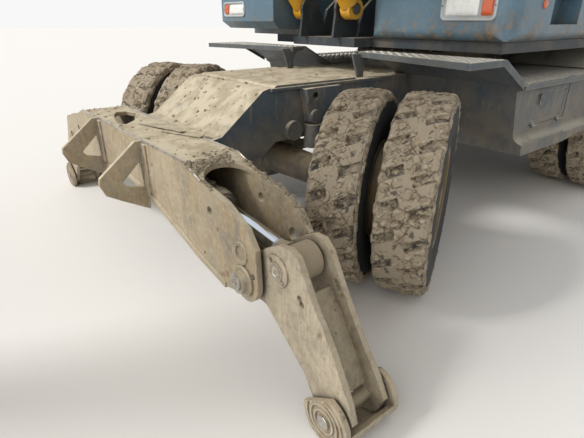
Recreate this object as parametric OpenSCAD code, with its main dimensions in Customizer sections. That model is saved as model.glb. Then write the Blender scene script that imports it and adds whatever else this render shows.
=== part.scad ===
// Wheeled excavator, millimetres. X runs forward from the slewing axis, Y to the left, Z up from the ground.

/* [Wheels and axles] */
// Slewing axis to the steered axle
front_axle_x = 1745; // [1700:5:1745]
// Slewing axis back to the rigid axle
rear_axle_back = 1050; // [1000:10:1100]
// Outside diameter of a tyre over its lugs
tyre_d = 1050; // [1000:5:1056]
// Section width of a tyre
tyre_w = 270; // [250:5:280]
// Distance between the middles of twin tyres
twin_pitch = 330; // [320:5:340]
// Bead seat diameter of the rims
rim_d = 508; // [500:1:512]
// Slewing axis plane to the middle of the inner tyre, which is also the kingpin
kingpin_y = 920; // [900:5:940]
// Steering angle of the front wheels as parked, at left lock
steer = 28; // [20:1:28]
// Lugs on each half of a tread
lug_count = 22; // [16:1:24]
// Depth of the grooves between the lugs
groove_depth = 20; // [12:1:26]

/* [Chassis] */
// Half width of the main beam
beam_hw = 450; // [420:10:470]
// Height of the top of the main beam
beam_top = 1030; // [1010:5:1045]
// Height of the underside of the main beam
beam_low = 640; // [620:5:660]
// Half distance over the fenders and toolboxes
body_hw = 1300; // [1280:5:1340]
// Height of the fender plates
fender_z = 1190; // [1170:5:1195]
// Height of the toolbox tops
box_top = 1035; // [1010:5:1060]
// Height of the toolbox floors
box_low = 600; // [570:5:640]

/* [Outriggers] */
// Front face of the outrigger beam
rig_front_x = 2720; // [2700:5:2800]
// Depth of the outrigger beam from front face to rear face
rig_depth = 285; // [280:5:300]
// Thickness of the outrigger beam's face plates
rig_plate = 25; // [20:1:30]
// Height of the outrigger beam's deck
rig_top = 815; // [800:5:820]
// Distance of the leg hinge from the middle
leg_hinge_y = 1240; // [1220:5:1250]
// Height of the leg hinge
leg_hinge_z = 447; // [440:1:455]
// Thickness of a leg's side plates
leg_plate = 25; // [20:1:30]

/* [Upper structure] */
// Height of the underside of the upper frame
upper_z = 1205; // [1204:1:1210]
// Half width of the upper structure
upper_hw = 1250; // [1240:5:1270]
// How far the boom stands to the right of the middle
boom_offset = 125; // [115:5:130]
// Radius swept by the counterweight
tail_r = 2750; // [2700:10:2800]
// Height of the top of the engine hood
hood_z = 2380; // [2300:10:2420]
// Height of the cab roof
cab_top = 3160; // [3100:10:3200]

/* [Digging gear] */
// Boom length, foot pin to arm pin
boom_len = 5200; // [5150:10:5250]
// Arm length, boom pin to bucket pin
arm_len = 2450; // [2430:10:2470]
// Bucket width over its sides
bucket_w = 1050; // [900:10:1200]

/* [Hidden] */
$fn = 48;

fit = 0.05;                    // radial clearance of a pin in its bore
axle_z = tyre_d / 2;
rear_axle_x = -rear_axle_back;
rig_rear_x = rig_front_x - rig_depth;
rig_mid_x = rig_front_x - rig_depth / 2;
leg_gap = 17;                  // beside a leg between the face plates
leg_hw = rig_depth / 2 - rig_plate - leg_gap;

paint_grey = "#8f8672";
dark_grey = "#2f3a44";
yellow = "#d9a021";
steel = "#b9bdc2";
rubber = "#3a3733";

// Plates drawn in the XZ plane from y0 to y1, and in the YZ plane from x0 to x1
module slab_xz(pts, y0, y1) {
  translate([0, y1, 0]) rotate([90, 0, 0]) linear_extrude(y1 - y0) polygon(pts);
}
module slab_yz(pts, x0, x1) {
  translate([x0, 0, 0]) rotate([90, 0, 90]) linear_extrude(x1 - x0) polygon(pts);
}
module block(x0, x1, y0, y1, z0, z1) {
  translate([x0, y0, z0]) cube([x1 - x0, y1 - y0, z1 - z0]);
}
module ycyl(x, z, r, y0, y1) {
  translate([x, y1, z]) rotate([90, 0, 0]) cylinder(r = r, h = y1 - y0);
}
module xcyl(y, z, r, x0, x1) {
  translate([x0, y, z]) rotate([0, 90, 0]) cylinder(r = r, h = x1 - x0);
}
module zcyl(x, y, r, z0, z1) {
  translate([x, y, z0]) cylinder(r = r, h = z1 - z0);
}
module both_sides() {
  children();
  mirror([0, 1, 0]) children();
}
function arc(c, r, a0, a1, n = 8) = [for (i = [0:n])
  c + r * [cos(a0 + (a1 - a0) * i / n), sin(a0 + (a1 - a0) * i / n)]];
function between(a, b, c, d, t) =
  0.5 * (2 * b + (c - a) * t + (2 * a - 5 * b + 4 * c - d) * t * t + (3 * b - a - 3 * c + d) * t * t * t);
function smooth(p, n) = [
  for (i = [0:len(p) - 2]) for (k = [0:n - 1])
    between(p[max(i - 1, 0)], p[i], p[i + 1], p[min(i + 2, len(p) - 1)], k / n),
  p[len(p) - 1]
];
function flip(p) = [for (i = [len(p) - 1:-1:0]) p[i]];
function turned(p) = [for (v = p) [v[0], -v[1]]];

// Tyres and rims, about the Y axis, the inner tyre's middle at the origin and outboard towards +Y
bead_hw = tyre_w * 0.36;
crown_hw = tyre_w * 0.36;
wall_t = 18;                   // thickness of a tyre's sidewall
tread_t = 55;                  // thickness of carcass and tread at the crown
groove_w = 48;
groove_angle = 24;
rib_hw = 22;                   // half width of the rib that joins the lugs in the middle
module tyre() {
  r = tyre_d / 2;
  b = rim_d / 2;
  half = [[b, bead_hw], [b + 30, bead_hw + 14], [b + 75, tyre_w * 0.46], [b + 130, tyre_w * 0.5],
    [b + 190, tyre_w * 0.485], [r - 38, tyre_w * 0.47], [r - 8, tyre_w * 0.43], [r, crown_hw]];
  hollow = [[b, bead_hw - 26], [b + 40, bead_hw - 20], [b + 130, tyre_w * 0.5 - wall_t],
    [r - 75, tyre_w * 0.44 - 12], [r - tread_t, tyre_w * 0.3]];
  color(rubber) difference() {
    rotate([90, 0, 0]) rotate_extrude($fn = 96)
      polygon(concat(turned(half), flip(half), hollow, flip(turned(hollow))));
    for (s = [-1, 1], i = [0:lug_count - 1])
      rotate([0, (i + (s > 0 ? 0.5 : 0)) * 360 / lug_count, 0]) translate([r - groove_depth, 0, 0])
        rotate([groove_angle, 0, 0])
          block(0, groove_depth + 10, s > 0 ? rib_hw : -tyre_w, s > 0 ? tyre_w : -rib_hw, -groove_w / 2,
            groove_w / 2);
  }
}
module tyre_pair() {
  tyre();
  translate([0, twin_pitch, 0]) tyre();
}

disc_y = twin_pitch / 2;       // where the twin rims' discs meet
hub_r = 165;
rim_in = rim_d / 2 - 18;
hand_holes = 8;
module rim_pair() {
  b = rim_d / 2 - 0.3;
  lip = b + 22;
  fl = bead_hw + 20;
  color(yellow) difference() {
    rotate([90, 0, 0]) rotate_extrude($fn = 96) mirror([0, 1]) {
      for (m = [0, twin_pitch]) translate([0, m]) polygon([[rim_in, -fl], [lip, -fl], [lip, -bead_hw - 15.5],
        [b, -bead_hw - 1], [b, bead_hw + 1], [lip, bead_hw + 15.5], [lip, fl], [rim_in, fl]]);
      translate([hub_r, disc_y - 14]) square([rim_in - hub_r + 10, 28]);
      translate([rim_in, disc_y - 60]) square([8, 120]);
      // planetary hub
      polygon([[hub_bore_r, 70], [hub_r - 35, 70], [hub_r, 95], [hub_r + 1, disc_y + 40],
        [hub_r - 20, disc_y + 70],
        [hub_r - 25, 400], [hub_r - 50, 430], [60, 430], [60, 445], [0, 445], [0, spindle_len + 1],
        [hub_bore_r, spindle_len + 1]]);
    }
    for (i = [0:hand_holes - 1]) rotate([0, i * 360 / hand_holes, 0])
      ycyl((hub_r + rim_in) / 2, 0, 22, disc_y - 20, disc_y + 20);
  }
}
module place_front(side) {
  translate([front_axle_x, side * kingpin_y, axle_z]) rotate([0, 0, steer])
    mirror([0, side > 0 ? 0 : 1, 0]) children();
}
module place_rear(side) {
  translate([rear_axle_x, side * kingpin_y, axle_z]) mirror([0, side > 0 ? 0 : 1, 0]) children();
}

// Steering knuckle between the fork's ears, with its spindle and the arm for the track rod
fork_gap = 98;
fork_t = 40;
knuckle_r = 62;
knuckle_hh = fork_gap - 0.5;
track_eye = [-170, -40];
hub_bore_r = 62;
spindle_r = hub_bore_r - 0.3;
spindle_len = 259;
module knuckle() {
  color(dark_grey) {
    zcyl(0, 0, knuckle_r, -knuckle_hh, knuckle_hh);
    ycyl(0, 0, spindle_r, 0, spindle_len);
    rotate([-90, 0, 0]) translate([0, 0, 30]) cylinder(r1 = 90, r2 = 78, h = 36);
    translate([0, 0, -18]) linear_extrude(36)
      polygon([[-20, 50], [-20, -50], track_eye + [0, -26], track_eye + [0, 26]]);
    zcyl(track_eye[0], track_eye[1], 28, -24, 24);
  }
}

// Axles: banjo housing, tapered tubes and the pads that carry the main beam
pinion_len = 230;
module banjo(r, hw) {
  rotate([0, 90, 0]) rotate_extrude($fn = 64)
    polygon([[0, -hw], [r * 0.72, -hw], [r, -hw * 0.5], [r, hw * 0.5], [r * 0.72, hw], [0, hw]]);
}
module axle_tubes(y1, r0, r1) {
  both_sides() rotate([-90, 0, 0]) cylinder(r1 = r0, r2 = r1, h = y1);
}
module front_axle() {
  color(dark_grey) translate([front_axle_x, 0, axle_z]) {
    banjo(175, 120);
    axle_tubes(kingpin_y - 190, 112, 84);
    xcyl(0, 0, 70, -pinion_len, 0);
    xcyl(0, 0, 88, 24 - pinion_len, 48 - pinion_len);
    both_sides() {
      slab_xz([[-90, -110], [-60, -150], [60, -150], [90, -110], [90, 110], [60, 150], [-60, 150],
        [-90, 110]],
        kingpin_y - 225, kingpin_y - 150);
      for (z = [-fork_gap - fork_t, fork_gap]) {
        block(-60, 60, kingpin_y - 160, kingpin_y, z, z + fork_t);
        zcyl(0, kingpin_y, knuckle_r, z, z + fork_t);
      }
    }
    // cradle of the oscillation pin
    difference() {
      slab_yz([[-130, 60], [130, 60], [200, arch_z - axle_z], [-200, arch_z - axle_z]], -150, 150);
      block(-90, 90, -210, 210, 120, 175);
    }
  }
}
module rear_axle() {
  color(dark_grey) translate([rear_axle_x, 0, axle_z]) {
    banjo(175, 120);
    axle_tubes(kingpin_y + 60, 118, 100);
    both_sides() ycyl(0, 0, spindle_r, kingpin_y + 59, kingpin_y + spindle_len);
    xcyl(0, 0, 70, 0, pinion_len);
    xcyl(0, 0, 88, pinion_len - 48, pinion_len - 24);
    both_sides() slab_xz([[-120, 0], [120, 0], [150, arch_z - axle_z], [-150, arch_z - axle_z]], 300,
      beam_hw - 10);
  }
}
// Gearbox under the beam and the propeller shafts to both axles
gearbox_x = [-200, 350];
module driveline() {
  color(dark_grey) {
    for (s = [[rear_axle_x + pinion_len, gearbox_x[0]], [gearbox_x[1], front_axle_x - pinion_len]]) {
      xcyl(0, axle_z, 38, s[0], s[1]);
      for (x = [s[0], s[1] - 26]) xcyl(0, axle_z, 66, x, x + 26);
      for (x = [s[0] + 40, s[1] - 90]) xcyl(0, axle_z, 50, x, x + 50);
    }
    slab_xz([[gearbox_x[0], axle_z - 90], [gearbox_x[0] + 90, axle_z - 150],
      [gearbox_x[1] - 90, axle_z - 150],
      [gearbox_x[1], axle_z - 90], [gearbox_x[1], beam_low], [gearbox_x[0], beam_low]], -190, 190);
    // travel motor on the gearbox
    xcyl(230, axle_z + 20, 88, gearbox_x[0] + 40, gearbox_x[0] + 330);
  }
}

// Main beam: long box with the slewing pedestal, sloping down to the outrigger beam at the front
front_ramp_x = 2050;
ramp_foot_x = 2336;
arch_z = 722;                  // underside over the axles
tail_len = 700;                // behind the rear axle
deck_lip = 14;
deck_t = 16;
pedestal_r = 600;
pedestal_top = 1110;
lock_x = front_axle_x - 33;    // axle lock on the left wall
module chassis_frame() {
  color(paint_grey) {
    slab_xz([
      [rear_axle_x - tail_len, beam_low + 60], [rear_axle_x - 230, arch_z], [rear_axle_x + 230, arch_z],
      [rear_axle_x + 300, beam_low], [front_axle_x - 300, beam_low], [front_axle_x - 230, arch_z],
      [front_axle_x + 230, arch_z], [front_axle_x + 330, beam_low + 10], [rig_rear_x, beam_low - 80],
      [rig_rear_x, rig_top - 26], [ramp_foot_x, rig_top - 10], [front_ramp_x + 10, beam_top - 10],
      [front_ramp_x - 30, beam_top], [rear_axle_x - tail_len + 140, beam_top],
      [rear_axle_x - tail_len, beam_top - 120]], -beam_hw, beam_hw);
    // edge of the deck plate, and a second plate laid on it
    block(box_front_x + 30, front_ramp_x - 40, -beam_hw - deck_lip, beam_hw + deck_lip, beam_top - deck_t,
      beam_top);
    slab_xz([[1320, beam_top - 1], [1980, beam_top - 1], [1960, beam_top + 12], [1330, beam_top + 12]],
      -beam_hw + 20, beam_hw - 6);
    zcyl(0, 0, pedestal_r, box_top, pedestal_top);
    zcyl(0, 0, beam_hw - 5, beam_low + 40, box_top + 1);
    both_sides() axle_lock();
    blade_lugs();
  }
}
// Bracket under the edge of the deck with the cylinder that locks the swinging axle
module axle_lock() {
  difference() {
    union() {
      slab_xz([[lock_x - 212, beam_top - deck_t], [lock_x + 82, beam_top - deck_t], [lock_x + 38, 815],
        [lock_x - 127, 805]], beam_hw - 1, beam_hw + 45);
      slab_xz([[lock_x + 20, beam_top - deck_t], [lock_x + 82, beam_top - deck_t], [lock_x + 60, 930]],
        beam_hw + 44, beam_hw + 58);
      ycyl(lock_x, 847, 42, beam_hw, beam_hw + 66);
      zcyl(lock_x + 5, beam_hw + 30, 52, 660, 800);
      ycyl(lock_x + 140, 775, 58, beam_hw - 1, beam_hw + 30);
    }
    ycyl(lock_x - 5, 967, 22, beam_hw + 5, beam_hw + 46);
  }
}

// Outrigger beam: two gull-wing face plates, deck, floor and the triangular brackets
leg_hinge = [leg_hinge_y, leg_hinge_z];
hinge_r = 92;
leg_hinge_r = 45;
leg_pin_r = 30;
shoulder_y = 780;              // where the deck starts to fall towards the hinges
slope_end = leg_hinge + [-315, 323];
rig_out = [[0, rig_top], [shoulder_y, rig_top], slope_end, leg_hinge + [-112, 293],
  leg_hinge + [30, 231], leg_hinge + [84, 161], leg_hinge + [hinge_r, 20]];
floor_pts = [[0, 545], [244, 531], [410, 496], [857, 384], leg_hinge + [-147, -104]];
tie_hole = leg_hinge + [-249, 210];
tie_hole_r = 22.5;
lock_hole = leg_hinge + [-17, 113];
lock_hole_r = 32;
floor_t = 25;
rig_half = concat(rig_out, arc(leg_hinge, hinge_r, 0, -120, 8), flip(floor_pts));
rig_outline = concat(rig_half, [for (i = [len(rig_half) - 2:-1:1]) [-rig_half[i][0], rig_half[i][1]]]);
bracket_y = [280, -460];
// corners of the deck's torn hole
tear = [for (p = [[-107, -440], [-77, -545], [-17, -560], [19, -500], [72, -330], [94, -190], [62, -150],
  [-17, -230], [-57, -330]]) [rig_mid_x, 0] + p];
module rig_bracket(y) {
  x = rig_front_x;
  difference() {
    slab_xz([[x, rig_top], [x + 35, rig_top], [x + 235, rig_top - 160], [x + 240, rig_top - 195],
      [x + 216, rig_top - 254], [x + 140, rig_top - 300], [x, rig_top - 378]], y - 13, y + 13);
    slab_xz([[x + 20, rig_top - 100], [x + 125, rig_top - 200], [x + 103, rig_top - 230],
      [x + 20, rig_top - 244]],
      y - 20, y + 20);
  }
  // strip welded to the face plate beside it
  block(x - 1, x + 8, y + 10, y + 66, rig_top - 278, rig_top - 12);
}
module rig_faces() {
  difference() {
    union() {
      for (x = [rig_rear_x, rig_front_x - rig_plate]) slab_yz(rig_outline, x, x + rig_plate);
      both_sides() for (x = [rig_rear_x - 14, rig_front_x]) xcyl(leg_hinge_y, leg_hinge_z, 62, x, x + 14);
      both_sides() for (x = [rig_rear_x - 6, rig_front_x])
        xcyl(lock_hole[0], lock_hole[1], lock_hole_r + 16, x, x + 6);
    }
    both_sides() {
      xcyl(tie_hole[0], tie_hole[1], tie_hole_r, rig_rear_x - 1, rig_front_x + 1);
      xcyl(lock_hole[0], lock_hole[1], lock_hole_r, rig_rear_x - 7, rig_front_x + 7);
      xcyl(leg_hinge[0] - 327, leg_hinge[1] - 19, 9, rig_rear_x - 1, rig_front_x + 1);
    }
  }
}
module rig_deck() {
  in0 = rig_rear_x + rig_plate;
  in1 = rig_front_x - rig_plate;
  deck_end = slope_end + [22, -7];
  notch_y = slope_end[0] + 20;
  difference() {
    union() {
      block(in0 - 1, in1 + 1, -shoulder_y, shoulder_y, rig_top - 25, rig_top);
      both_sides() slab_yz([[shoulder_y - 1, rig_top], deck_end, deck_end - [0, 25],
        [shoulder_y - 1, rig_top - 25]],
        in0 - 1, in1 + 1);
    }
    // round-ended notches over the leg cylinders, as wide as the space between the plates
    both_sides() {
      zcyl(rig_mid_x, notch_y, (in1 - in0) / 2, rig_top - 120, rig_top + 10);
      block(in0, in1, notch_y, deck_end[0] + 5, rig_top - 120, rig_top + 10);
    }
    translate([0, 0, rig_top - 60]) linear_extrude(80) polygon(tear);
    for (p = [[62, -45, 10], [22, 70, 9]]) zcyl(rig_mid_x + p[0], p[1], p[2], rig_top - 60, rig_top + 1);
  }
}
module outrigger_beam() {
  color(paint_grey) {
    rig_faces();
    rig_deck();
    // floor, whose edges show as a flange below the face plates
    both_sides() slab_yz(concat([for (p = floor_pts) p + [0, -4]],
      flip([for (p = floor_pts) p + [0, floor_t - 4]])),
      rig_rear_x + 1, rig_front_x + 8);
    block(rig_rear_x + 1, rig_front_x - 1, -12, 12, floor_pts[0][1], rig_top - 5);
    for (y = bracket_y) rig_bracket(y);
    both_sides() {
      xcyl(leg_base[0], leg_base[1], leg_pin_r, rig_rear_x + 1, rig_front_x - 1);
      xcyl(leg_hinge_y, leg_hinge_z, leg_hinge_r, rig_rear_x - 30, rig_front_x + 36);
      for (s = [[rig_rear_x - 36, rig_rear_x - 29], [rig_front_x + 35, rig_front_x + 42]])
        xcyl(leg_hinge_y, leg_hinge_z, leg_hinge_r - 14, s[0], s[1]);
      // disc closing the hole for the leg's transport lock
      xcyl(lock_hole[0], lock_hole[1], lock_hole_r + 0.5, rig_front_x - 20, rig_front_x - 3);
    }
  }
}

// Outrigger leg, drawn for the left side: two side plates, web, hinge tube and pin bosses
leg_eye = leg_hinge + [166, 105];
foot_pin = leg_hinge + [474, -352];
foot_pin_r = 28;
// top and outer edge of the front and the rear plate, from the hinge
leg_front_edge = [[99, 171], [168, 208], [232, 222], [280, 204], [361, 65], [461, -69], [556, -240],
  [578, -310], [548, -350]];
leg_rear_edge = [[92, 162], [158, 198], [212, 200], [258, 160], [330, 30], [425, -118], [520, -245],
  [562, -322], [548, -350]];
function leg_outline(edge) = concat(arc(leg_hinge, 85, 260, 120, 8), [for (p = edge) leg_hinge + p],
  arc(foot_pin, 75, 0, -150, 8), [leg_hinge + [319, -260], leg_hinge + [89, -84]]);
module leg() {
  x0 = rig_mid_x - leg_hw;
  x1 = rig_mid_x + leg_hw;
  color(paint_grey) difference() {
    union() {
      slab_yz(leg_outline(leg_rear_edge), x0, x0 + leg_plate);
      slab_yz(leg_outline(leg_front_edge), x1 - leg_plate, x1);
      slab_yz([for (p = [[262, 20], [330, -70], [430, -225], [470, -300], [455, -308], [412, -236],
        [312, -84], [246, 8]]) leg_hinge + p], x0 + 1, x1 - 1);
      for (s = [[x0, rig_mid_x - 64], [rig_mid_x + 64, x1]]) xcyl(leg_hinge_y, leg_hinge_z, 72, s[0], s[1]);
      for (s = [[x0 - 6, x0 + 1], [x1 - 1, x1 + 6]]) {
        xcyl(leg_eye[0], leg_eye[1], 64, s[0], s[1]);
        xcyl(foot_pin[0], foot_pin[1], 46, s[0], s[1]);
      }
      for (s = [[x0 - 11, x0 - 5], [x1 + 5, x1 + 11]]) xcyl(leg_eye[0], leg_eye[1], 36, s[0], s[1]);
      xcyl(foot_pin[0], foot_pin[1], foot_pin_r, x0 - cheek_t - 16, x1 + cheek_t + 16);
    }
    xcyl(leg_hinge_y, leg_hinge_z, leg_hinge_r + fit, x0 - 1, x1 + 1);
    // slot beside the web in both plates
    for (p = [[292, 50], [304, 32]]) xcyl(leg_hinge_y + p[0], leg_hinge_z + p[1], 13, x0 - 1, x1 + 1);
  }
}

// Foot: half-round casting on the leg's pin, its cheeks outside the leg, flat where it stands
cheek_t = 22;
cheek_gap = 11;                // beside the leg's plates, past their bosses
foot_r = foot_pin[1] + 16;
foot_open = 83;                // room for the leg's round end
foot_tilt = 127;               // direction from the foot's pin up the leg
module foot_part(r, x0, x1, over) {
  intersection() {
    xcyl(foot_pin[0], foot_pin[1], r, x0, x1);
    translate([0, foot_pin[0], foot_pin[1]]) rotate([foot_tilt, 0, 0])
      block(x0 - 1, x1 + 1, -r - 1, over, -r - 1, r + 1);
  }
}
module foot() {
  in_hw = leg_hw + cheek_gap;
  out_hw = in_hw + cheek_t;
  color(paint_grey) difference() {
    union() {
      for (s = [[rig_mid_x - out_hw, rig_mid_x - in_hw], [rig_mid_x + in_hw, rig_mid_x + out_hw]])
        foot_part(foot_r, s[0], s[1], 75);
      difference() {
        foot_part(foot_r, rig_mid_x - in_hw - 1, rig_mid_x + in_hw + 1, -62);
        xcyl(foot_pin[0], foot_pin[1], foot_open, rig_mid_x - in_hw, rig_mid_x + in_hw);
      }
      // raised rings on the outer faces
      for (r = [50, 72, 94], s = [[rig_mid_x - out_hw - 6, rig_mid_x - out_hw + 1],
        [rig_mid_x + out_hw - 1, rig_mid_x + out_hw + 6]])
        difference() {
          foot_part(r, s[0], s[1], 70);
          xcyl(foot_pin[0], foot_pin[1], r - 9, s[0] - 1, s[1] + 1);
        }
    }
    xcyl(foot_pin[0], foot_pin[1], foot_pin_r + fit, rig_mid_x - out_hw - 10, rig_mid_x + out_hw + 10);
    block(rig_mid_x - out_hw - 10, rig_mid_x + out_hw + 10, foot_pin[0] - 200, foot_pin[0] + 200, -50, 0);
  }
}

// A hydraulic cylinder from pin a to pin b, both [across, height], drawn along +X in its own plane
gland_play = 0.3;
module barrel_2d(a, b, len, r_tube, r_rod, w, r_pin) {
  angle = atan2(b[1] - a[1], b[0] - a[0]);
  translate([a[0], 0, a[1]]) rotate([0, -angle, 0]) difference() {
    union() {
      ycyl(0, 0, r_tube * 1.05, -w / 2, w / 2);
      translate([r_tube * 0.6, 0, 0]) rotate([0, 90, 0]) cylinder(r = r_tube, h = len - r_tube * 0.6);
      translate([len - 70, 0, 0]) rotate([0, 90, 0]) cylinder(r = r_tube + 8, h = 45);
      translate([len - 26, 0, 0]) rotate([0, 90, 0]) cylinder(r1 = r_tube + 8, r2 = r_tube - 6, h = 26);
      // ports at both ends
      for (x = [r_tube * 1.8, len - 110]) translate([x, 0, r_tube * 0.8])
        cylinder(r = r_tube * 0.3, h = r_tube * 0.45);
    }
    translate([r_tube * 1.4, 0, 0]) rotate([0, 90, 0]) cylinder(r = r_rod + gland_play, h = len);
    ycyl(0, 0, r_pin + fit, -w, w);
  }
}
module rod_2d(a, b, len, r_tube, r_rod, w, eye_r) {
  angle = atan2(b[1] - a[1], b[0] - a[0]);
  full = norm(b - a);
  translate([a[0], 0, a[1]]) rotate([0, -angle, 0]) {
    ycyl(full, 0, eye_r, -w / 2, w / 2);
    translate([full - len, 0, 0]) rotate([0, 90, 0]) cylinder(r = r_rod, h = len - eye_r * 0.6);
    translate([full - eye_r - 34, 0, 0]) rotate([0, 90, 0])
      cylinder(r1 = r_rod + 4, r2 = eye_r * 0.72, h = 44);
  }
}

leg_base = [100, rig_top - 155];
leg_tube_r = 66;
leg_rod_r = 38;
leg_barrel_len = 760;
rod_eye_r = 72;
module in_rig_plane() {
  translate([rig_mid_x, 0, 0]) rotate([0, 0, 90]) children();
}
module leg_barrel() {
  color(dark_grey) in_rig_plane() barrel_2d(leg_base, leg_eye, leg_barrel_len, leg_tube_r, leg_rod_r, 100,
    leg_pin_r);
}
module leg_rod() {
  color(steel) in_rig_plane() rod_2d(leg_base, leg_eye, 900, leg_tube_r, leg_rod_r, 120, rod_eye_r);
}

// Fenders over the wheels: flat plate with a slanted front edge, sloping sheet, lips and brackets
fender_t = 12;
fender_hang = 34;
box_front_x = 803;
box_rear_x = -463;
front_bend_x = 1080;
front_edge = [[1215, 350], [1430, body_hw]];
rear_bend_x = -700;
fender_tail_x = -1400;
module fenders() {
  color(paint_grey) both_sides() {
    translate([0, 0, fender_z - fender_t]) linear_extrude(fender_t)
      polygon([[front_bend_x - 1, 350], front_edge[0], front_edge[1], [front_bend_x - 1, body_hw]]);
    translate([0, 0, fender_z - fender_hang]) linear_extrude(fender_hang - fender_t + 1)
      polygon([front_edge[0] - [14, 0], front_edge[0], front_edge[1], front_edge[1] - [14, 0]]);
    slab_xz([[front_bend_x, fender_z], [box_front_x, box_top + fender_t], [box_front_x, box_top],
      [box_front_x + 12, box_top - 4], [front_bend_x + 6, fender_z - fender_t]], 350, body_hw);
    // side lip
    slab_xz([[front_edge[1][0] - 6, fender_z - fender_t + 1], [front_bend_x + 6, fender_z - fender_t + 1],
      [box_front_x + 20, box_top + 2],
      [box_front_x + 20, box_top - 20], [front_bend_x + 16, fender_z - fender_hang],
        [front_edge[1][0] - 6, fender_z - fender_hang]],
      body_hw - 10, body_hw);
    slab_xz([[box_rear_x, box_top + fender_t], [rear_bend_x, fender_z], [fender_tail_x, fender_z],
      [fender_tail_x, fender_z - fender_hang], [fender_tail_x + 12, fender_z - fender_t],
        [rear_bend_x - 6, fender_z - fender_t],
      [box_rear_x - 12, box_top - 4], [box_rear_x, box_top]], beam_hw - 20, body_hw);
    slab_xz([[rear_bend_x - 10, fender_z - fender_t + 1], [fender_tail_x + 6, fender_z - fender_t + 1],
      [fender_tail_x + 6, fender_z - fender_hang], [rear_bend_x - 20, fender_z - fender_hang]],
        body_hw - 10, body_hw);
    // arched brackets up from the deck
    under = fender_z - fender_t;
    slab_xz(concat([[front_bend_x + 10, under], [1300, under], [1240, beam_top], [1190, beam_top]],
      arc([1100, under - 108], 90, 0, 90, 8), [[front_bend_x + 10, under - 18]]), 370, 384);
    slab_xz([[-1300, fender_z - fender_t], [-800, fender_z - fender_t], [-800, beam_top], [-1250, beam_top]],
      beam_hw - 18, beam_hw - 4);
  }
}

// Toolboxes between the wheels: grip strip on the step, door in the recessed side, flared running board
box_door_x = [40, 560];
box_door_z = [759, 981];
box_side = body_hw - 50;
box_hinge = [box_side + 8, box_door_z[0] - 9];
board_hw = body_hw + 8;        // outer edge of the running board
tread_pitch = 34;
module toolboxes() {
  front = [box_front_x - 3, box_top];
  flare_r = board_hw - box_side;
  color(paint_grey) both_sides() difference() {
    union() {
      intersection() {
        slab_xz([[box_rear_x + 3, box_top], front, front + [-100, box_low - box_top], [100, box_low],
          [-290, box_low + 35], [-440, box_low + 120]], beam_hw, board_hw);
        slab_yz(concat([[beam_hw - 1, box_low - 1], [beam_hw - 1, box_top + 1], [body_hw, box_top + 1],
          [body_hw, box_top - 26], [box_side, box_top - 42]],
          arc([board_hw, box_low + 128], flare_r, 180, 270, 6), [[board_hw, box_low - 1]]),
          box_rear_x, box_front_x);
      }
      // grip strip along the step, and its smaller copy along the running board
      for (x = [box_rear_x + 20:tread_pitch:front[0] - tread_pitch])
        slab_xz([[x, box_top - 1], [x + 22, box_top - 1], [x + 22, box_top + 6], [x + 4, box_top + 16]],
          body_hw - 26, body_hw);
      for (x = [120:tread_pitch:front[0] - 120])
        slab_xz([[x, box_low + 60], [x + 18, box_low + 60], [x + 18, box_low + 76], [x + 4, box_low + 82]],
          board_hw - 15, board_hw);
      for (x = [box_door_x[0] + 60, box_door_x[1] - 100]) step_hinge(x, x + 18);
    }
    block(box_door_x[0] - 4, box_door_x[1] + 4, box_side - 30, box_side + 1, box_door_z[0] - 4,
      box_door_z[1] + 4);
    block(box_door_x[0] + 30, box_door_x[1] - 30, 700, box_side, box_door_z[0] + 21, box_door_z[1] - 21);
  }
}
// Hinge knuckle of a toolbox door on its axis along X, from x0 to x1
module step_hinge(x0, x1) {
  xcyl(box_hinge[0], box_hinge[1], 7, x0, x1);
  block(x0, x1, box_side - 2, box_hinge[0], box_hinge[1] - 7, box_hinge[1] - 1);
}
module toolbox_door() {
  color(paint_grey) {
    difference() {
      block(box_door_x[0], box_door_x[1], box_side - 24, box_side - 4, box_door_z[0], box_door_z[1]);
      block(box_door_x[0] + 30, box_door_x[1] - 30, box_side - 8, box_side - 3, box_door_z[0] + 24,
        box_door_z[1] - 24);
    }
    for (x = [box_door_x[0] + 78.3, box_door_x[1] - 81.7]) {
      xcyl(box_hinge[0], box_hinge[1], 7, x, x + 40);
      slab_yz([[box_side - 5, box_door_z[0] + 2], [box_side - 5, box_door_z[0] + 16],
        [box_side + 1, box_door_z[0] + 16],
        box_hinge + [7, 0], box_hinge + [0, 3], box_hinge + [-3, 5], [box_side - 4, box_door_z[0] + 2]], x,
          x + 40);
    }
    // latch
    block(box_door_x[1] - 150, box_door_x[1] - 100, box_side - 9, box_side + 4, 880, 950);
    xcyl(box_side + 8, 915, 6, box_door_x[1] - 145, box_door_x[1] - 105);
  }
}
module slew_ring() {
  color(dark_grey) {
    zcyl(0, 0, 590, pedestal_top, 1160);
    zcyl(0, 0, 540, 1160, upper_z - 0.3);
  }
}

// Dozer blade at the rear on two arms outside the main beam, carried just off the ground
blade_x = rear_axle_x - 1200;
blade_hinge = [rear_axle_x - 300, 600];
blade_rod_pin = blade_hinge + [-450, -40];
blade_base = blade_hinge + [100, 360];
blade_pin_r = 30;
blade_face_r = 420;            // curve of the mouldboard
blade_skin = 25;
arm_y = beam_hw + 25;
blade_y = arm_y + 100;
module blade_lugs() {
  both_sides() {
    slab_xz([blade_hinge + [-150, 200], blade_hinge + [170, 200], blade_hinge + [60, 0],
      blade_hinge + [20, -55],
      blade_hinge + [-20, -55], blade_hinge + [-60, 0]], beam_hw - 20, beam_hw + 18);
    ycyl(blade_hinge[0], blade_hinge[1], blade_pin_r, beam_hw, arm_y + 50);
    block(blade_base[0] - 60, blade_base[0] + 60, beam_hw - 20, blade_y - 64, blade_base[1] - 70,
      blade_base[1] + 50);
    ycyl(blade_base[0], blade_base[1], blade_pin_r, beam_hw, blade_y + 50);
  }
}
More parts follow.
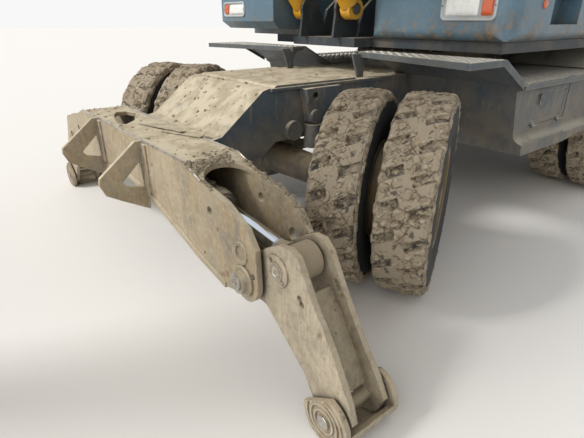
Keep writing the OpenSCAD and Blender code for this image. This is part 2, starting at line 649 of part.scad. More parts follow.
module blade() {
  c = [blade_x - 330, 480];
  color(paint_grey) {
    slab_xz(concat(arc(c, blade_face_r, 58, -60, 10), flip(arc(c, blade_face_r - blade_skin, 58, -60, 10))),
      -body_hw, body_hw);
    // cheeks and cutting edge
    both_sides() slab_xz(concat(arc(c, blade_face_r + 10, 56, -58, 10),
      [[blade_x - 190, 140], [blade_x - 190, 800]]),
      body_hw - 1, body_hw + 19);
    slab_xz([[blade_x - 158, 100], [blade_x - 96, 100], [blade_x - 84, 190], [blade_x - 112, 190]],
      -body_hw, body_hw);
    both_sides() difference() {
      slab_xz([[blade_x + 50, 330], [blade_x + 60, 620], blade_hinge + [-550, 50], blade_hinge + [20, 65],
        blade_hinge + [70, 40],
        blade_hinge + [70, -40], blade_hinge + [20, -65], blade_hinge + [-450, -130]], arm_y, arm_y + 40);
      ycyl(blade_hinge[0], blade_hinge[1], blade_pin_r + fit, arm_y - 1, arm_y + 41);
    }
    both_sides() ycyl(blade_rod_pin[0], blade_rod_pin[1], 46, arm_y + 39, blade_y - 46);
    slab_xz([[blade_x + 50, 400], [blade_x + 60, 560], [blade_x + 330, 600], [blade_x + 330, 500]],
      -arm_y - 5, arm_y + 5);
    // stiffeners behind the mouldboard
    for (y = [-900, -200, 200, 900])
      slab_xz([[blade_x + 40, 300], [blade_x + 110, 380], [blade_x + 110, 600], [blade_x + 10, 740],
        [blade_x - 30, 740], [blade_x + 60, 480]], y - 10, y + 10);
  }
}
module blade_barrels() {
  color(dark_grey) both_sides() translate([0, blade_y, 0])
    barrel_2d(blade_base, blade_rod_pin, 470, 50, 28, 80, blade_pin_r);
}
module blade_rods() {
  color(steel) both_sides() translate([0, blade_y, 0]) rod_2d(blade_base, blade_rod_pin, 480, 50, 28, 80, 60);
}

// Upper structure
deck_z = upper_z + 60;
rail_z = deck_z + 235;         // top of the rails that carry the engine
mount_h = 30;
boom_foot = [480, upper_z + 745];
boom_cyl_foot = [1080, upper_z + 245];
boom_hw = 165;
boom_cyl_y = 260;
dig_pin_r = 45;
cyl_pin_r = 35;
bay_front_x = -560;
bay_rear_x = -1950;
bay_top = upper_z + 985;
hood_hw = 700;
door_t = 40;
door_y = upper_hw - 20 - door_t;
door_front_x = -700;
door_rear_x = bay_rear_x + 50;
engine_x = [-1750, -800];
module at_boom() {
  translate([0, -boom_offset, 0]) children();
}
module upper_frame() {
  color(dark_grey) {
    translate([0, 0, upper_z]) linear_extrude(deck_z - upper_z)
      polygon([[bay_rear_x, -1100], [-300, 40 - upper_hw],
      [700, 40 - upper_hw], [950, -900], [950, -470], [1120, -455], [1120, 215], [950, 240],
        [950, upper_hw - 60],
      [-300, upper_hw - 40], [bay_rear_x, 1100]]);
    at_boom() {
      both_sides() {
        difference() {
          slab_xz([[bay_rear_x + 1, deck_z - 1], [950, deck_z - 1], [900, deck_z + 185], [760, deck_z + 295],
            boom_foot + [140, 70], boom_foot + [60, 135], boom_foot + [-60, 135], boom_foot + [-150, 70],
            [-100, rail_z + 100], [-700, rail_z], [bay_rear_x + 1, rail_z]], boom_hw + 16, boom_hw + 41);
          for (x = [-1500, -1100, -300]) ycyl(x, (deck_z + rail_z) / 2, 70, boom_hw, boom_hw + 50);
        }
        slab_xz(concat([[900, deck_z - 1], [1180, deck_z - 1]], arc(boom_cyl_foot, 85, -20, 160, 8)),
          boom_hw + 6, boom_hw + 25);
        for (x = [engine_x[0] + 100, engine_x[1] - 150])
          block(x - 60, x + 60, boom_hw - 10, boom_hw + 67, rail_z - 1, rail_z + mount_h);
        // stiffening ring at the boom's foot
        ycyl(boom_foot[0], boom_foot[1], 105, boom_hw + 40, boom_hw + 54);
      }
      ycyl(boom_foot[0], boom_foot[1], dig_pin_r, -boom_hw - 70, boom_hw + 70);
      both_sides() ycyl(boom_cyl_foot[0], boom_cyl_foot[1], cyl_pin_r, boom_hw + 10, boom_cyl_y + 55);
    }
  }
}
module counterweight() {
  color(dark_grey) intersection() {
    rotate_extrude($fn = 96) polygon([[0, upper_z + 15], [tail_r - 260, upper_z + 15],
      [tail_r - 40, upper_z + 240],
      [tail_r, upper_z + 420], [tail_r, bay_top - 90], [tail_r - 50, bay_top + 60],
        [tail_r - 170, bay_top + 110], [0, bay_top + 110]]);
    block(-tail_r, bay_rear_x, 10 - upper_hw, upper_hw - 10, upper_z, bay_top + 200);
  }
}

// Engine bay: roof strips beside the hood, bulkhead, corner posts, hinge lugs and the exhaust
hood_axis = [bay_front_x + 15, hood_z + 5];
hood_lug_y = 300;
side_axis = [door_rear_x, upper_hw - 6];
side_knuckle_z = [bay_top - 690, bay_top - 140];
exhaust_xy = [-1500, -850];
module house_panels() {
  bx = bay_front_x - 20;       // bulkhead's front face
  color(yellow) {
    both_sides() {
      block(bay_rear_x, bx, hood_hw + 6, upper_hw - 20, bay_top + 6, bay_top + 26);
      block(door_front_x + 8, bx, door_y, upper_hw - 20, deck_z, bay_top + 7);
      block(bay_rear_x, door_rear_x - 8, door_y, upper_hw - 20, deck_z, bay_top + 7);
      slab_xz([[bx - 1, bay_top - 70], [hood_axis[0] + 10, bay_top - 70],
        [hood_axis[0] + 10, hood_axis[1] - 4],
        hood_axis + [4, 9], hood_axis + [-5, 9], [bay_front_x + 4, hood_axis[1] - 4],
          [bay_front_x + 4, bay_top + 6], [bx - 1, bay_top + 6]],
        hood_lug_y, hood_lug_y + 60);
      ycyl(hood_axis[0], hood_axis[1], 7, hood_lug_y, hood_lug_y + 92);
      for (z = side_knuckle_z) {
        zcyl(side_axis[0], side_axis[1], 10, z, z + 40);
        zcyl(side_axis[0], side_axis[1], 5, z + 39, z + 82);
        block(side_axis[0] - 18, side_axis[0], upper_hw - 21, side_axis[1] - 5, z, z + 40);
      }
    }
    block(bx - 25, bx, -hood_hw - 30, hood_hw + 30, deck_z + 315, bay_top + 7);
    // exhaust pipe with its cut-off end
    difference() {
      zcyl(exhaust_xy[0], exhaust_xy[1], 62, bay_top + 20, bay_top + 330);
      zcyl(exhaust_xy[0], exhaust_xy[1], 54, bay_top + 60, bay_top + 340);
      translate([exhaust_xy[0], exhaust_xy[1], bay_top + 320]) rotate([0, 30, 0])
        block(-120, 120, -80, 80, 0, 120);
    }
    // air intake on the left strip
    zcyl(-1250, 900, 90, bay_top + 20, bay_top + 120);
    zcyl(-1250, 900, 120, bay_top + 119, bay_top + 175);
  }
}
module engine() {
  color("#3c3f42") block(engine_x[0], engine_x[1], -620, 600, rail_z + mount_h, bay_top - 70);
}
module engine_hood() {
  x0 = bay_rear_x + 30;
  z0 = bay_top + 12;
  color(yellow) {
    difference() {
      slab_yz([[-hood_hw, z0], [hood_hw, z0], [hood_hw, hood_z - 70], [hood_hw - 90, hood_z],
        [90 - hood_hw, hood_z],
        [-hood_hw, hood_z - 70]], x0, bay_front_x);
      slab_yz([[20 - hood_hw, z0 - 1], [hood_hw - 20, z0 - 1], [hood_hw - 20, hood_z - 78],
        [hood_hw - 98, hood_z - 20],
        [98 - hood_hw, hood_z - 20], [20 - hood_hw, hood_z - 78]], x0 + 20, bay_front_x - 20);
      // louvres in the roof
      both_sides() for (i = [0:6]) block(x0 + 200 + i * 60, x0 + 226 + i * 60, 120, 480, hood_z - 30,
        hood_z + 1);
    }
    both_sides() difference() {
      union() {
        ycyl(hood_axis[0], hood_axis[1], 14, hood_lug_y + 60.3, hood_lug_y + 90);
        block(bay_front_x - 50, hood_axis[0], hood_lug_y + 60.3, hood_lug_y + 90, hood_z - 1, hood_z + 12);
      }
      ycyl(hood_axis[0], hood_axis[1], 7 + fit, hood_lug_y + 60, hood_lug_y + 91);
    }
  }
}
// Side door with louvres, drawn for the left side
module side_door() {
  color(yellow) {
    difference() {
      block(door_rear_x, door_front_x, door_y, upper_hw - 20, deck_z + 30, bay_top);
      for (i = [0:9]) block(door_rear_x + 260, door_front_x - 260, door_y - 1, upper_hw - 19,
        deck_z + 330 + i * 52, deck_z + 354 + i * 52);
      block(door_rear_x + 200, door_front_x - 200, upper_hw - 24, upper_hw - 19, deck_z + 290, deck_z + 870);
    }
    for (z = side_knuckle_z) difference() {
      union() {
        zcyl(side_axis[0], side_axis[1], 10, z + 40.3, z + 82);
        block(side_axis[0], side_axis[0] + 22, upper_hw - 21, side_axis[1] - 5, z + 40.3, z + 82);
      }
      zcyl(side_axis[0], side_axis[1], 5 + fit, z + 40, z + 83);
    }
    // pull handle
    block(door_front_x - 120, door_front_x - 60, upper_hw - 21, upper_hw - 8, deck_z + 480, deck_z + 510);
  }
}

// Right-hand tank and box, stepped down to the front, with the lamp recess, handrail and mirror
right_front_x = 1300;
cab_front_x = 1010;
lamp_z = [upper_z + 185, upper_z + 315];
module right_tank() {
  y1 = -480;
  z1 = upper_z + 845;
  color(dark_grey) difference() {
    union() {
      slab_xz([[bay_front_x - 15, deck_z], [960, deck_z], [960, deck_z + 50],
        [right_front_x - 50, deck_z + 50], [right_front_x, deck_z + 105],
        [right_front_x, upper_z + 495], [right_front_x - 60, upper_z + 525], [900, upper_z + 555],
          [640, z1 - 20], [560, z1],
        [bay_front_x - 15, z1 + 80]], -upper_hw, y1);
      // handrail over the steps
      for (x = [680, 1180]) zcyl(x, y1 - 60, 16, upper_z + 500, upper_z + 1100);
      xcyl(y1 - 60, upper_z + 1100, 16, 664, 1196);
      // mirror on its arm
      zcyl(1220, 60 - upper_hw, 14, upper_z + 500, upper_z + 1180);
      block(1212, 1240, -upper_hw, 190 - upper_hw, upper_z + 1180, upper_z + 1480);
    }
    // rounded step edges: chamfer along the outer bottom and top
    translate([0, -upper_hw, deck_z + 50]) rotate([45, 0, 0]) block(961, right_front_x + 1, -36, 36, -36, 36);
    block(right_front_x - 16, right_front_x + 1, 42 - upper_hw, 372 - upper_hw, lamp_z[0] + 14,
      lamp_z[1] - 6);
    // steps up to the top
    block(940, right_front_x + 1, y1 - 190, y1 + 1, upper_z + 330, upper_z + 700);
  }
}
module cab_base() {
  y0 = 225;
  r = 120;
  low_r = 60;
  color(dark_grey) difference() {
    intersection() {
      translate([0, 0, deck_z]) linear_extrude(cab_floor - deck_z)
        polygon(concat([[-500, y0]], arc([cab_front_x - r, y0 + r], r, -90, 0, 8),
        arc([cab_front_x - r, upper_hw - r], r, 0, 90, 8), [[-500, upper_hw]]));
      // rounded lower edges
      slab_xz(concat([[-501, cab_floor + 1], [-501, deck_z]],
        arc([cab_front_x - low_r, deck_z + low_r], low_r, -90, 0, 6), [[cab_front_x, cab_floor + 1]]),
        y0 - 1, upper_hw + 1);
      slab_yz(concat([[y0 - 1, cab_floor + 1], [y0 - 1, deck_z]],
        arc([upper_hw - low_r, deck_z + low_r], low_r, -90, 0, 6), [[upper_hw, cab_floor + 1]]),
        -501, cab_front_x + 1);
    }
    block(cab_front_x - 14, cab_front_x + 1, 812, 1152, lamp_z[0] - 10, lamp_z[1] + 10);
    // step recess below the door
    block(180, 560, upper_hw - 130, upper_hw + 1, deck_z + 90, deck_z + 300);
    block(180, 560, upper_hw - 130, upper_hw + 1, deck_z + 340, cab_floor - 40);
  }
}
// Lamps: white lenses and orange indicators in both recesses, and the round side marker
module headlamps() {
  color("#e8e6dc") {
    for (y = [[823, 1047], [1062, 1144]]) block(cab_front_x - 14, cab_front_x + 8, y[0], y[1], lamp_z[0],
      lamp_z[1]);
    for (y = [[-1118, -890], [-1198, -1132]]) block(right_front_x - 16, right_front_x + 6, y[0], y[1],
      lamp_z[0] + 20, lamp_z[1] - 12);
    ycyl(677, upper_z + 257, 24, upper_hw, upper_hw + 12);
    // work lamps under the cab's roof edge
    for (y = [cab_y0 + 160, cab_y1 - 160]) block(cab_roof_x + 30, cab_roof_x + 90, y - 55, y + 55,
      cab_top + 18, cab_top + 98);
  }
}

// Cab
cab_y0 = 270;
cab_y1 = upper_hw - 5;
cab_floor = upper_z + 535;
cab_wall = 50;
cab_roof_x = 760;
cab_rear_x = -480;
win_z = cab_floor + 510;       // sill of the side windows
win_top = cab_top - 180;
cab_profile = [[cab_rear_x, cab_floor], [1180, cab_floor], [1260, cab_floor + 180], [1230, cab_floor + 560],
  [1000, cab_top - 60],
  [900, cab_top], [-440, cab_top], [cab_rear_x, cab_top - 80]];
cab_inner = [[cab_rear_x + 50, cab_floor + 40], [1140, cab_floor + 40], [1205, cab_floor + 200],
  [1175, cab_floor + 560],
  [955, cab_top - 90], [880, cab_top - 60], [cab_rear_x + 50, cab_top - 60]];
door_profile = [[-50, cab_floor + 30], [820, cab_floor + 30], [940, cab_floor + 130], [1000, cab_floor + 310],
  [960, cab_floor + 760], [800, cab_top - 130], [-50, cab_top - 130]];
cab_axis = [-50, cab_y1 + 17];
cab_knuckle_z = [cab_floor + 210, cab_top - 360];
module cab_shell() {
  color(yellow) {
    difference() {
      slab_xz(cab_profile, cab_y0, cab_y1);
      slab_xz(cab_inner, cab_y0 + cab_wall, cab_y1 - cab_wall);
      // door opening
      slab_xz(door_profile, cab_y1 - cab_wall - 5, cab_y1 + 5);
      // front window
      block(900, 1300, cab_y0 + 90, cab_y1 - 90, cab_floor + 290, cab_top - 230);
      // right, rear and left rear windows
      slab_xz([[-300, win_z], [950, win_z], [930, win_z + 250], [780, win_top], [-300, win_top]],
        cab_y0 - 5, cab_y0 + cab_wall + 5);
      block(cab_rear_x - 20, cab_rear_x + 60, cab_y0 + 120, cab_y1 - 120, win_z + 100, win_top);
      slab_xz([[-380, win_z + 100], [-130, win_z + 100], [-130, win_top], [-380, win_top]],
        cab_y1 - cab_wall - 5, cab_y1 + 5);
    }
    for (z = cab_knuckle_z) {
      zcyl(cab_axis[0], cab_axis[1], 12, z, z + 40);
      zcyl(cab_axis[0], cab_axis[1], 6, z + 39, z + 85);
      block(cab_axis[0] - 12, cab_axis[0], cab_y1 - 1, cab_axis[1] - 4, z, z + 40);
    }
    // rain edge of the roof and the mirror on its arm
    block(cab_rear_x + 60, 860, cab_y0 + 30, cab_y1 - 30, cab_top - 1, cab_top + 18);
    xcyl(cab_y1 - 40, cab_floor + 420, 14, 1200, 1420);
    zcyl(1420, cab_y1 - 40, 14, cab_floor + 406, cab_floor + 900);
    block(1408, 1436, cab_y1 - 110, cab_y1 + 40, cab_floor + 520, cab_floor + 860);
  }
}
module cab_glass() {
  inner_y = cab_y0 + cab_wall;
  color("#9fb4bd") {
    slab_xz([[-306, win_z - 6], [956, win_z - 6], [936, win_z + 254], [784, win_top + 6],
      [-306, win_top + 6]],
      inner_y + 0.3, inner_y + 6);
    slab_xz([[-386, win_z + 94], [-124, win_z + 94], [-124, win_top + 6], [-386, win_top + 6]],
      cab_y1 - cab_wall - 6, cab_y1 - cab_wall - 0.3);
    block(cab_rear_x + 50.3, cab_rear_x + 56, cab_y0 + 114, cab_y1 - 114, win_z + 94, win_top + 6);
    // bent windscreen against the inside of the front posts
    slab_xz([[windscreen_x(cab_floor + 284) - 0.3, cab_floor + 284], [1174.7, cab_floor + 560],
      [windscreen_x(cab_top - 224) - 0.3, cab_top - 224],
      [windscreen_x(cab_top - 224) - 6.5, cab_top - 224], [1168.5, cab_floor + 560],
        [windscreen_x(cab_floor + 284) - 6.5, cab_floor + 284]],
      cab_y0 + 84, cab_y1 - 84);
  }
}
// Where the inside of the front wall lies at height z
function windscreen_x(z) = z < cab_floor + 560
  ? 1205 - (z - cab_floor - 200) / 12
  : 1175 - (z - cab_floor - 560) * 220 / (cab_top - 90 - cab_floor - 560);
module cab_door() {
  inset = 8;
  color(yellow) {
    difference() {
      slab_xz([[-50 + inset, cab_floor + 38], [814, cab_floor + 38], [931, cab_floor + 136],
        [991, cab_floor + 310],
        [951, cab_floor + 754], [794, cab_top - 138], [-50 + inset, cab_top - 138]], cab_y1 - 42, cab_y1);
      slab_xz([[20, win_z], [900, win_z - 100], [880, win_z + 230], [760, cab_top - 200],
        [20, cab_top - 200]], cab_y1 - 50, cab_y1 + 5);
      slab_xz([[60, cab_floor + 110], [800, cab_floor + 110], [870, cab_floor + 170],
        [900, cab_floor + 330], [60, cab_floor + 420]],
        cab_y1 - 50, cab_y1 + 5);
    }
    for (z = cab_knuckle_z) difference() {
      union() {
        zcyl(cab_axis[0], cab_axis[1], 12, z + 40.3, z + 85);
        block(cab_axis[0], cab_axis[0] + 40, cab_y1 - 1, cab_axis[1] - 6, z + 40.3, z + 85);
      }
      zcyl(cab_axis[0], cab_axis[1], 6 + fit, z + 40, z + 86);
    }
    // handle
    block(820, 860, cab_y1 - 1, cab_y1 + 24, cab_floor + 376, cab_floor + 388);
    block(740, 860, cab_y1 + 12, cab_y1 + 24, cab_floor + 376, cab_floor + 402);
  }
}
module door_glass() {
  y0 = cab_y1 - 24;
  color("#9fb4bd") {
    slab_xz([[20.3, win_z + 0.3], [899, win_z - 99], [879, win_z + 229], [759, cab_top - 200.5],
      [20.3, cab_top - 200.5]], y0, y0 + 6);
    slab_xz([[60.3, cab_floor + 110.3], [799.7, cab_floor + 110.3], [869, cab_floor + 170.5],
      [899, cab_floor + 329], [60.3, cab_floor + 419]],
      y0, y0 + 6);
  }
}
// Seat on its box with arm consoles, levers and the steering column
console_y = 310;
module seat_and_console() {
  f = cab_floor + 40;
  ym = (cab_y0 + cab_y1) / 2;
  color("#2c2c2e") {
    block(-150, 300, ym - 200, ym + 200, f, f + 280);
    // cushion, back and headrest lie on the box and on each other
    slab_xz([[-200, f + 280.3], [330, f + 280.3], [360, f + 330], [330, f + 400], [-180, f + 380]],
      ym - 250, ym + 250);
    slab_xz([[-215, f + 380.3], [-180, f + 380.3], [-95, f + 383.7], [-150, f + 900], [-210, f + 960],
      [-270, f + 900]], ym - 240, ym + 240);
    slab_xz([[-262, f + 960.3], [-190, f + 960.3], [-200, f + 1090], [-250, f + 1100]], ym - 140, ym + 140);
    // consoles on a beam through the box, with their levers
    block(240, 320, ym - console_y - 20, ym + console_y + 20, f + 200, f + 262);
    for (s = [-1, 1]) translate([0, ym + s * console_y, 0]) {
      block(240, 320, -20, 20, f + 201, f + 330);
      slab_xz([[-80, f + 400], [340, f + 300], [350, f + 520], [-60, f + 560]], -55, 55);
      zcyl(280, 0, 18, f + 500, f + 660);
    }
    // steering column and wheel
    slab_xz([[760, f], [900, f], [800, f + 620], [720, f + 620]], ym - 60, ym + 60);
    translate([700, ym, f + 670]) rotate([0, -35, 0]) {
      rotate_extrude($fn = 48) translate([175, 0]) circle(r = 16);
      xcyl(0, 0, 14, -175, 175);
      ycyl(0, 0, 14, -175, 175);
      zcyl(0, 0, 34, -70, 12);
    }
  }
}

// Digging gear, drawn in the XZ plane at its parked attitude
boom_angle = 15.2;
arm_angle = 264;               // from the boom's tip down to the bucket pin
function along(o, a, p) = o + [p[0] * cos(a) - p[1] * sin(a), p[0] * sin(a) + p[1] * cos(a)];
function on_boom(p) = along(boom_foot, boom_angle, p);
boom_tip = on_boom([boom_len, 0]);
function on_arm(p) = along(boom_tip, arm_angle, p);
arm_tip = on_arm([arm_len, 0]);

// Boom: share of its length, height of the middle line, half depth
boom_table = [[0, 0, 125], [0.08, 240, 230], [0.2, 560, 300], [0.33, 830, 345], [0.44, 900, 350],
  [0.56, 770, 320], [0.72, 470, 265], [0.88, 150, 170], [1, 0, 120]];
boom_mid = [for (s = boom_table) [s[0] * boom_len, s[1]]];
function outline(mid, half, n) = let (m = smooth(mid, n), h = smooth([for (v = half) [v, 0]], n),
  d = [for (i = [0:len(m) - 1]) let (t = m[min(i + 1, len(m) - 1)] - m[max(i - 1, 0)])
    [-t[1], t[0]] / norm(t)])
  concat([for (i = [0:len(m) - 1]) m[i] + h[i][0] * d[i]],
    [for (i = [len(m) - 1:-1:0]) m[i] - h[i][0] * d[i]]);
boom_local = outline(boom_mid, [for (s = boom_table) s[2]], 3);
boom_rod_pin = on_boom([2050, 560]);
arm_cyl_base = on_boom([2250, 1400]);
arm_hw = 130;
fork_len = 420;
module boom() {
  color(yellow) at_boom() difference() {
    union() {
      difference() {
        union() {
          slab_xz([for (p = boom_local) on_boom(p)], -boom_hw, boom_hw);
          ycyl(boom_tip[0], boom_tip[1], 135, -boom_hw - 10, boom_hw + 10);
        }
        // the arm's end sits in the fork at the tip
        translate([boom_tip[0], 0, boom_tip[1]]) rotate([0, -boom_angle, 0])
          block(-fork_len, 300, -arm_hw - 10, arm_hw + 10, -600, 600);
      }
      ycyl(boom_foot[0], boom_foot[1], 125, -boom_hw - 8, boom_hw + 8);
      ycyl(boom_tip[0], boom_tip[1], dig_pin_r, -boom_hw - 30, boom_hw + 30);
      both_sides() ycyl(boom_rod_pin[0], boom_rod_pin[1], 85, boom_hw - 5, boom_hw + 25);
      // lugs of the arm cylinder
      both_sides() slab_xz(concat([on_boom([2000, 1150]), on_boom([2500, 1130])],
        arc(arm_cyl_base, 85, 10, 190, 8)), 80, 108);
      ycyl(arm_cyl_base[0], arm_cyl_base[1], cyl_pin_r, -118, 118);
    }
    ycyl(boom_foot[0], boom_foot[1], dig_pin_r + fit, -boom_hw - 9, boom_hw + 9);
  }
}
module boom_barrels() {
  color(yellow) at_boom() both_sides() translate([0, boom_cyl_y, 0])
    barrel_2d(boom_cyl_foot, boom_rod_pin, 1330, 65, 42, 90, cyl_pin_r);
}
module boom_rods() {
  color(steel) at_boom() both_sides() translate([0, boom_cyl_y, 0])
    rod_2d(boom_cyl_foot, boom_rod_pin, 1390, 65, 42, 90, 80);
}

// Arm: heel slot for its cylinder's rod, lugs for the bucket cylinder, parallel linkage at the tip
arm_rod_pin = on_arm([-650, 150]);
bucket_cyl_base = on_arm([60, 560]);
rocker_len = 450;
link_len = 400;
rocker_angle = 95;
rocker_pin = on_arm([arm_len - link_len, 0]);
rocker_top = along(rocker_pin, arm_angle + rocker_angle, [rocker_len, 0]);
lug_pin = along(arm_tip, arm_angle + rocker_angle, [rocker_len, 0]);
arm_outline = [[-760, 90], [-740, 230], [-640, 270], [-420, 260], [-120, 420], [150, 440], [1450, 130],
  [1560, 100], [arm_len + 20, 92],
  [arm_len + 85, 40], [arm_len + 85, -40], [arm_len + 20, -92], [1500, -120], [200, -190], [-60, -170],
    [-250, -90], [-640, 20], [-720, 30]];
module arm() {
  color(yellow) at_boom() difference() {
    union() {
      difference() {
        slab_xz([for (p = arm_outline) on_arm(p)], -arm_hw, arm_hw);
        translate([boom_tip[0], 0, boom_tip[1]]) rotate([0, -arm_angle, 0])
          block(-900, -430, -65, 65, -600, 600);
      }
      ycyl(boom_tip[0], boom_tip[1], 120, -arm_hw - 4, arm_hw + 4);
      both_sides() slab_xz(concat([on_arm([-100, 380]), on_arm([300, 330])],
        arc(bucket_cyl_base, 80, arm_angle + 20, arm_angle + 170, 8)), 74, 100);
      ycyl(bucket_cyl_base[0], bucket_cyl_base[1], cyl_pin_r, -106, 106);
      ycyl(rocker_pin[0], rocker_pin[1], cyl_pin_r, -arm_hw - 50, arm_hw + 50);
      both_sides() ycyl(arm_rod_pin[0], arm_rod_pin[1], 80, arm_hw - 5, arm_hw + 14);
    }
    ycyl(boom_tip[0], boom_tip[1], dig_pin_r + fit, -arm_hw - 5, arm_hw + 5);
    ycyl(arm_tip[0], arm_tip[1], dig_pin_r + fit, -arm_hw - 1, arm_hw + 1);
  }
}
module arm_barrel() {
  color(yellow) at_boom() barrel_2d(arm_cyl_base, arm_rod_pin, 1900, 70, 45, 140, cyl_pin_r);
}
module arm_rod() {
  color(steel) at_boom() rod_2d(arm_cyl_base, arm_rod_pin, 2050, 70, 45, 110, 80);
}
module bucket_barrel() {
  color(yellow) at_boom() barrel_2d(bucket_cyl_base, rocker_top, 1380, 62, 40, 130, cyl_pin_r);
}
module bucket_rod() {
  color(steel) at_boom() rod_2d(bucket_cyl_base, rocker_top, 1400, 62, 40, 90, 66);
}
module bar_xz(a, b, r, y0, y1) {
  d = (b - a) / norm(b - a);
  n = [-d[1], d[0]];
  slab_xz([a + n * r, a - n * r, b - n * r, b + n * r], y0, y1);
  ycyl(a[0], a[1], r, y0, y1);
  ycyl(b[0], b[1], r, y0, y1);
}
rocker_y = arm_hw + 8;
link_y = 54;
module rocker() {
  color(yellow) at_boom() both_sides() difference() {
    bar_xz(rocker_pin, rocker_top, 60, rocker_y, rocker_y + 32);
    ycyl(rocker_pin[0], rocker_pin[1], cyl_pin_r + fit, rocker_y - 1, rocker_y + 33);
    ycyl(rocker_top[0], rocker_top[1], cyl_pin_r + fit, rocker_y - 1, rocker_y + 33);
  }
}
module bucket_link() {
  color(yellow) at_boom() both_sides() difference() {
    union() {
      bar_xz(rocker_top, lug_pin, 55, link_y, link_y + 40);
      ycyl(rocker_top[0], rocker_top[1], cyl_pin_r, link_y, rocker_y + 45);
    }
    ycyl(lug_pin[0], lug_pin[1], cyl_pin_r + fit, link_y - 1, link_y + 41);
  }
}

// Bucket, given as distances forward of and below the bucket pin
function by_pin(p) = arm_tip + [p[0], -p[1]];
bucket_skin = [[-60, 130], [470, 140], [590, 210], [650, 330], [655, 520], [590, 690], [470, 800],
  [280, 850], [-430, 850], [-520, 830]];
bucket_inner = [[-54, 155], [460, 165], [572, 228], [625, 340], [630, 515], [570, 675], [458, 778],
  [275, 825], [-430, 825], [-515, 805], [-700, 760], [-300, 120]];
side_cutter = [[-50, 170], [-130, 150], [-600, 690], [-650, 790], [-480, 815], [-390, 700]];
teeth = 5;
module bucket() {
  hw = bucket_w / 2;
  color("#4a4640") at_boom() difference() {
    union() {
      difference() {
        slab_xz([for (p = bucket_skin) by_pin(p)], -hw, hw);
        slab_xz([for (p = bucket_inner) by_pin(p)], -hw + 25, hw - 25);
      }
      // lip, teeth and side cutters
      slab_xz([for (p = [[-430, 825], [-430, 850], [-520, 850], [-640, 815], [-520, 815]]) by_pin(p)], -hw,
        hw);
      for (i = [0:teeth - 1]) let (y = -hw + 60 + i * (bucket_w - 120) / (teeth - 1))
        slab_xz([for (p = [[-560, 800], [-560, 852], [-660, 850], [-790, 806], [-690, 800]]) by_pin(p)],
          y - 38, y + 38);
      both_sides() slab_xz([for (p = side_cutter) by_pin(p)], hw - 1, hw + 16);
      // ears
      both_sides() slab_xz([for (p = [[-80, 180], [-90, -20], [-50, -80], [50, -80], [380, -70], [500, -60],
        [540, 0], [540, 230], [300, 190]]) by_pin(p)],
        arm_hw + 8, arm_hw + 38);
      ycyl(arm_tip[0], arm_tip[1], dig_pin_r, -arm_hw - 60, arm_hw + 60);
      ycyl(lug_pin[0], lug_pin[1], cyl_pin_r, -arm_hw - 50, arm_hw + 50);
    }
  }
}

chassis_frame();
outrigger_beam();
front_axle();
rear_axle();
driveline();
fenders();
toolboxes();
toolbox_door();  // toolbox_door_left
mirror([0, 1, 0]) toolbox_door();  // toolbox_door_right
slew_ring();
place_front(1) knuckle();  // knuckle_left
place_front(-1) knuckle();  // knuckle_right
place_front(1) rim_pair();  // rims_front_left
place_front(-1) rim_pair();  // rims_front_right
place_rear(1) rim_pair();  // rims_rear_left
place_rear(-1) rim_pair();  // rims_rear_right
place_front(1) tyre_pair();  // tyres_front_left
place_front(-1) tyre_pair();  // tyres_front_right
place_rear(1) tyre_pair();  // tyres_rear_left
place_rear(-1) tyre_pair();  // tyres_rear_right
leg();  // leg_left
mirror([0, 1, 0]) leg();  // leg_right
foot();  // foot_left
mirror([0, 1, 0]) foot();  // foot_right
leg_barrel();  // leg_barrel_left
mirror([0, 1, 0]) leg_barrel();  // leg_barrel_right
leg_rod();  // leg_rod_left
mirror([0, 1, 0]) leg_rod();  // leg_rod_right
blade();
blade_barrels();
blade_rods();
upper_frame();
counterweight();
house_panels();
engine();
engine_hood();
side_door();  // side_door_left
mirror([0, 1, 0]) side_door();  // side_door_right
right_tank();
cab_base();
headlamps();
cab_shell();
cab_glass();
cab_door();
door_glass();
seat_and_console();
boom();
boom_barrels();
boom_rods();
arm();
arm_barrel();
arm_rod();
bucket_barrel();
bucket_rod();
rocker();
bucket_link();
bucket();
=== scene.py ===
import math
import random

import bmesh
import bpy
from mathutils import Matrix, Vector, noise
from mathutils.bvhtree import BVHTree


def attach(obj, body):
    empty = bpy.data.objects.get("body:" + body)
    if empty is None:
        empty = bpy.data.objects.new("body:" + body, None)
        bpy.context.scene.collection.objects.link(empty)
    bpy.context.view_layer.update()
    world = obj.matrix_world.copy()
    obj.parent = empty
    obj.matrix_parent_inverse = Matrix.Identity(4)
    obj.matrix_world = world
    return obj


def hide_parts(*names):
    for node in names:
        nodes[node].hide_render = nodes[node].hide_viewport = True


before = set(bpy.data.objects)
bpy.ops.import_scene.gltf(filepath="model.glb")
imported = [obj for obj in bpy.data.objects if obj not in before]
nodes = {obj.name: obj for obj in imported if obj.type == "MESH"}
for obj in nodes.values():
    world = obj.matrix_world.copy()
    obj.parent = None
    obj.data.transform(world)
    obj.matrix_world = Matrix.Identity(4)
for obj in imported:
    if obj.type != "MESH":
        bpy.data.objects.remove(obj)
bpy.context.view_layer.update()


# camera: eye height and angle of the photograph, 584 x 438
cameraLook = {
    "place": (3.49, 2.515, 1.385),
    "heading": (-0.621, -0.784),
    "pitchDown": 24.5,
    "lens": 27.04,
}


def setCamera(look):
    down = math.radians(look["pitchDown"])
    aim = Vector((look["heading"][0] * math.cos(down), look["heading"][1] * math.cos(down), -math.sin(down)))
    data = bpy.data.cameras.new("photoCamera")
    data.lens = look["lens"]
    data.sensor_width = 36
    data.clip_end = 300
    camera = bpy.data.objects.new("photoCamera", data)
    camera.location = look["place"]
    camera.rotation_euler = aim.to_track_quat("-Z", "Y").to_euler()
    bpy.context.scene.collection.objects.link(camera)
    bpy.context.scene.camera = camera


setCamera(cameraLook)


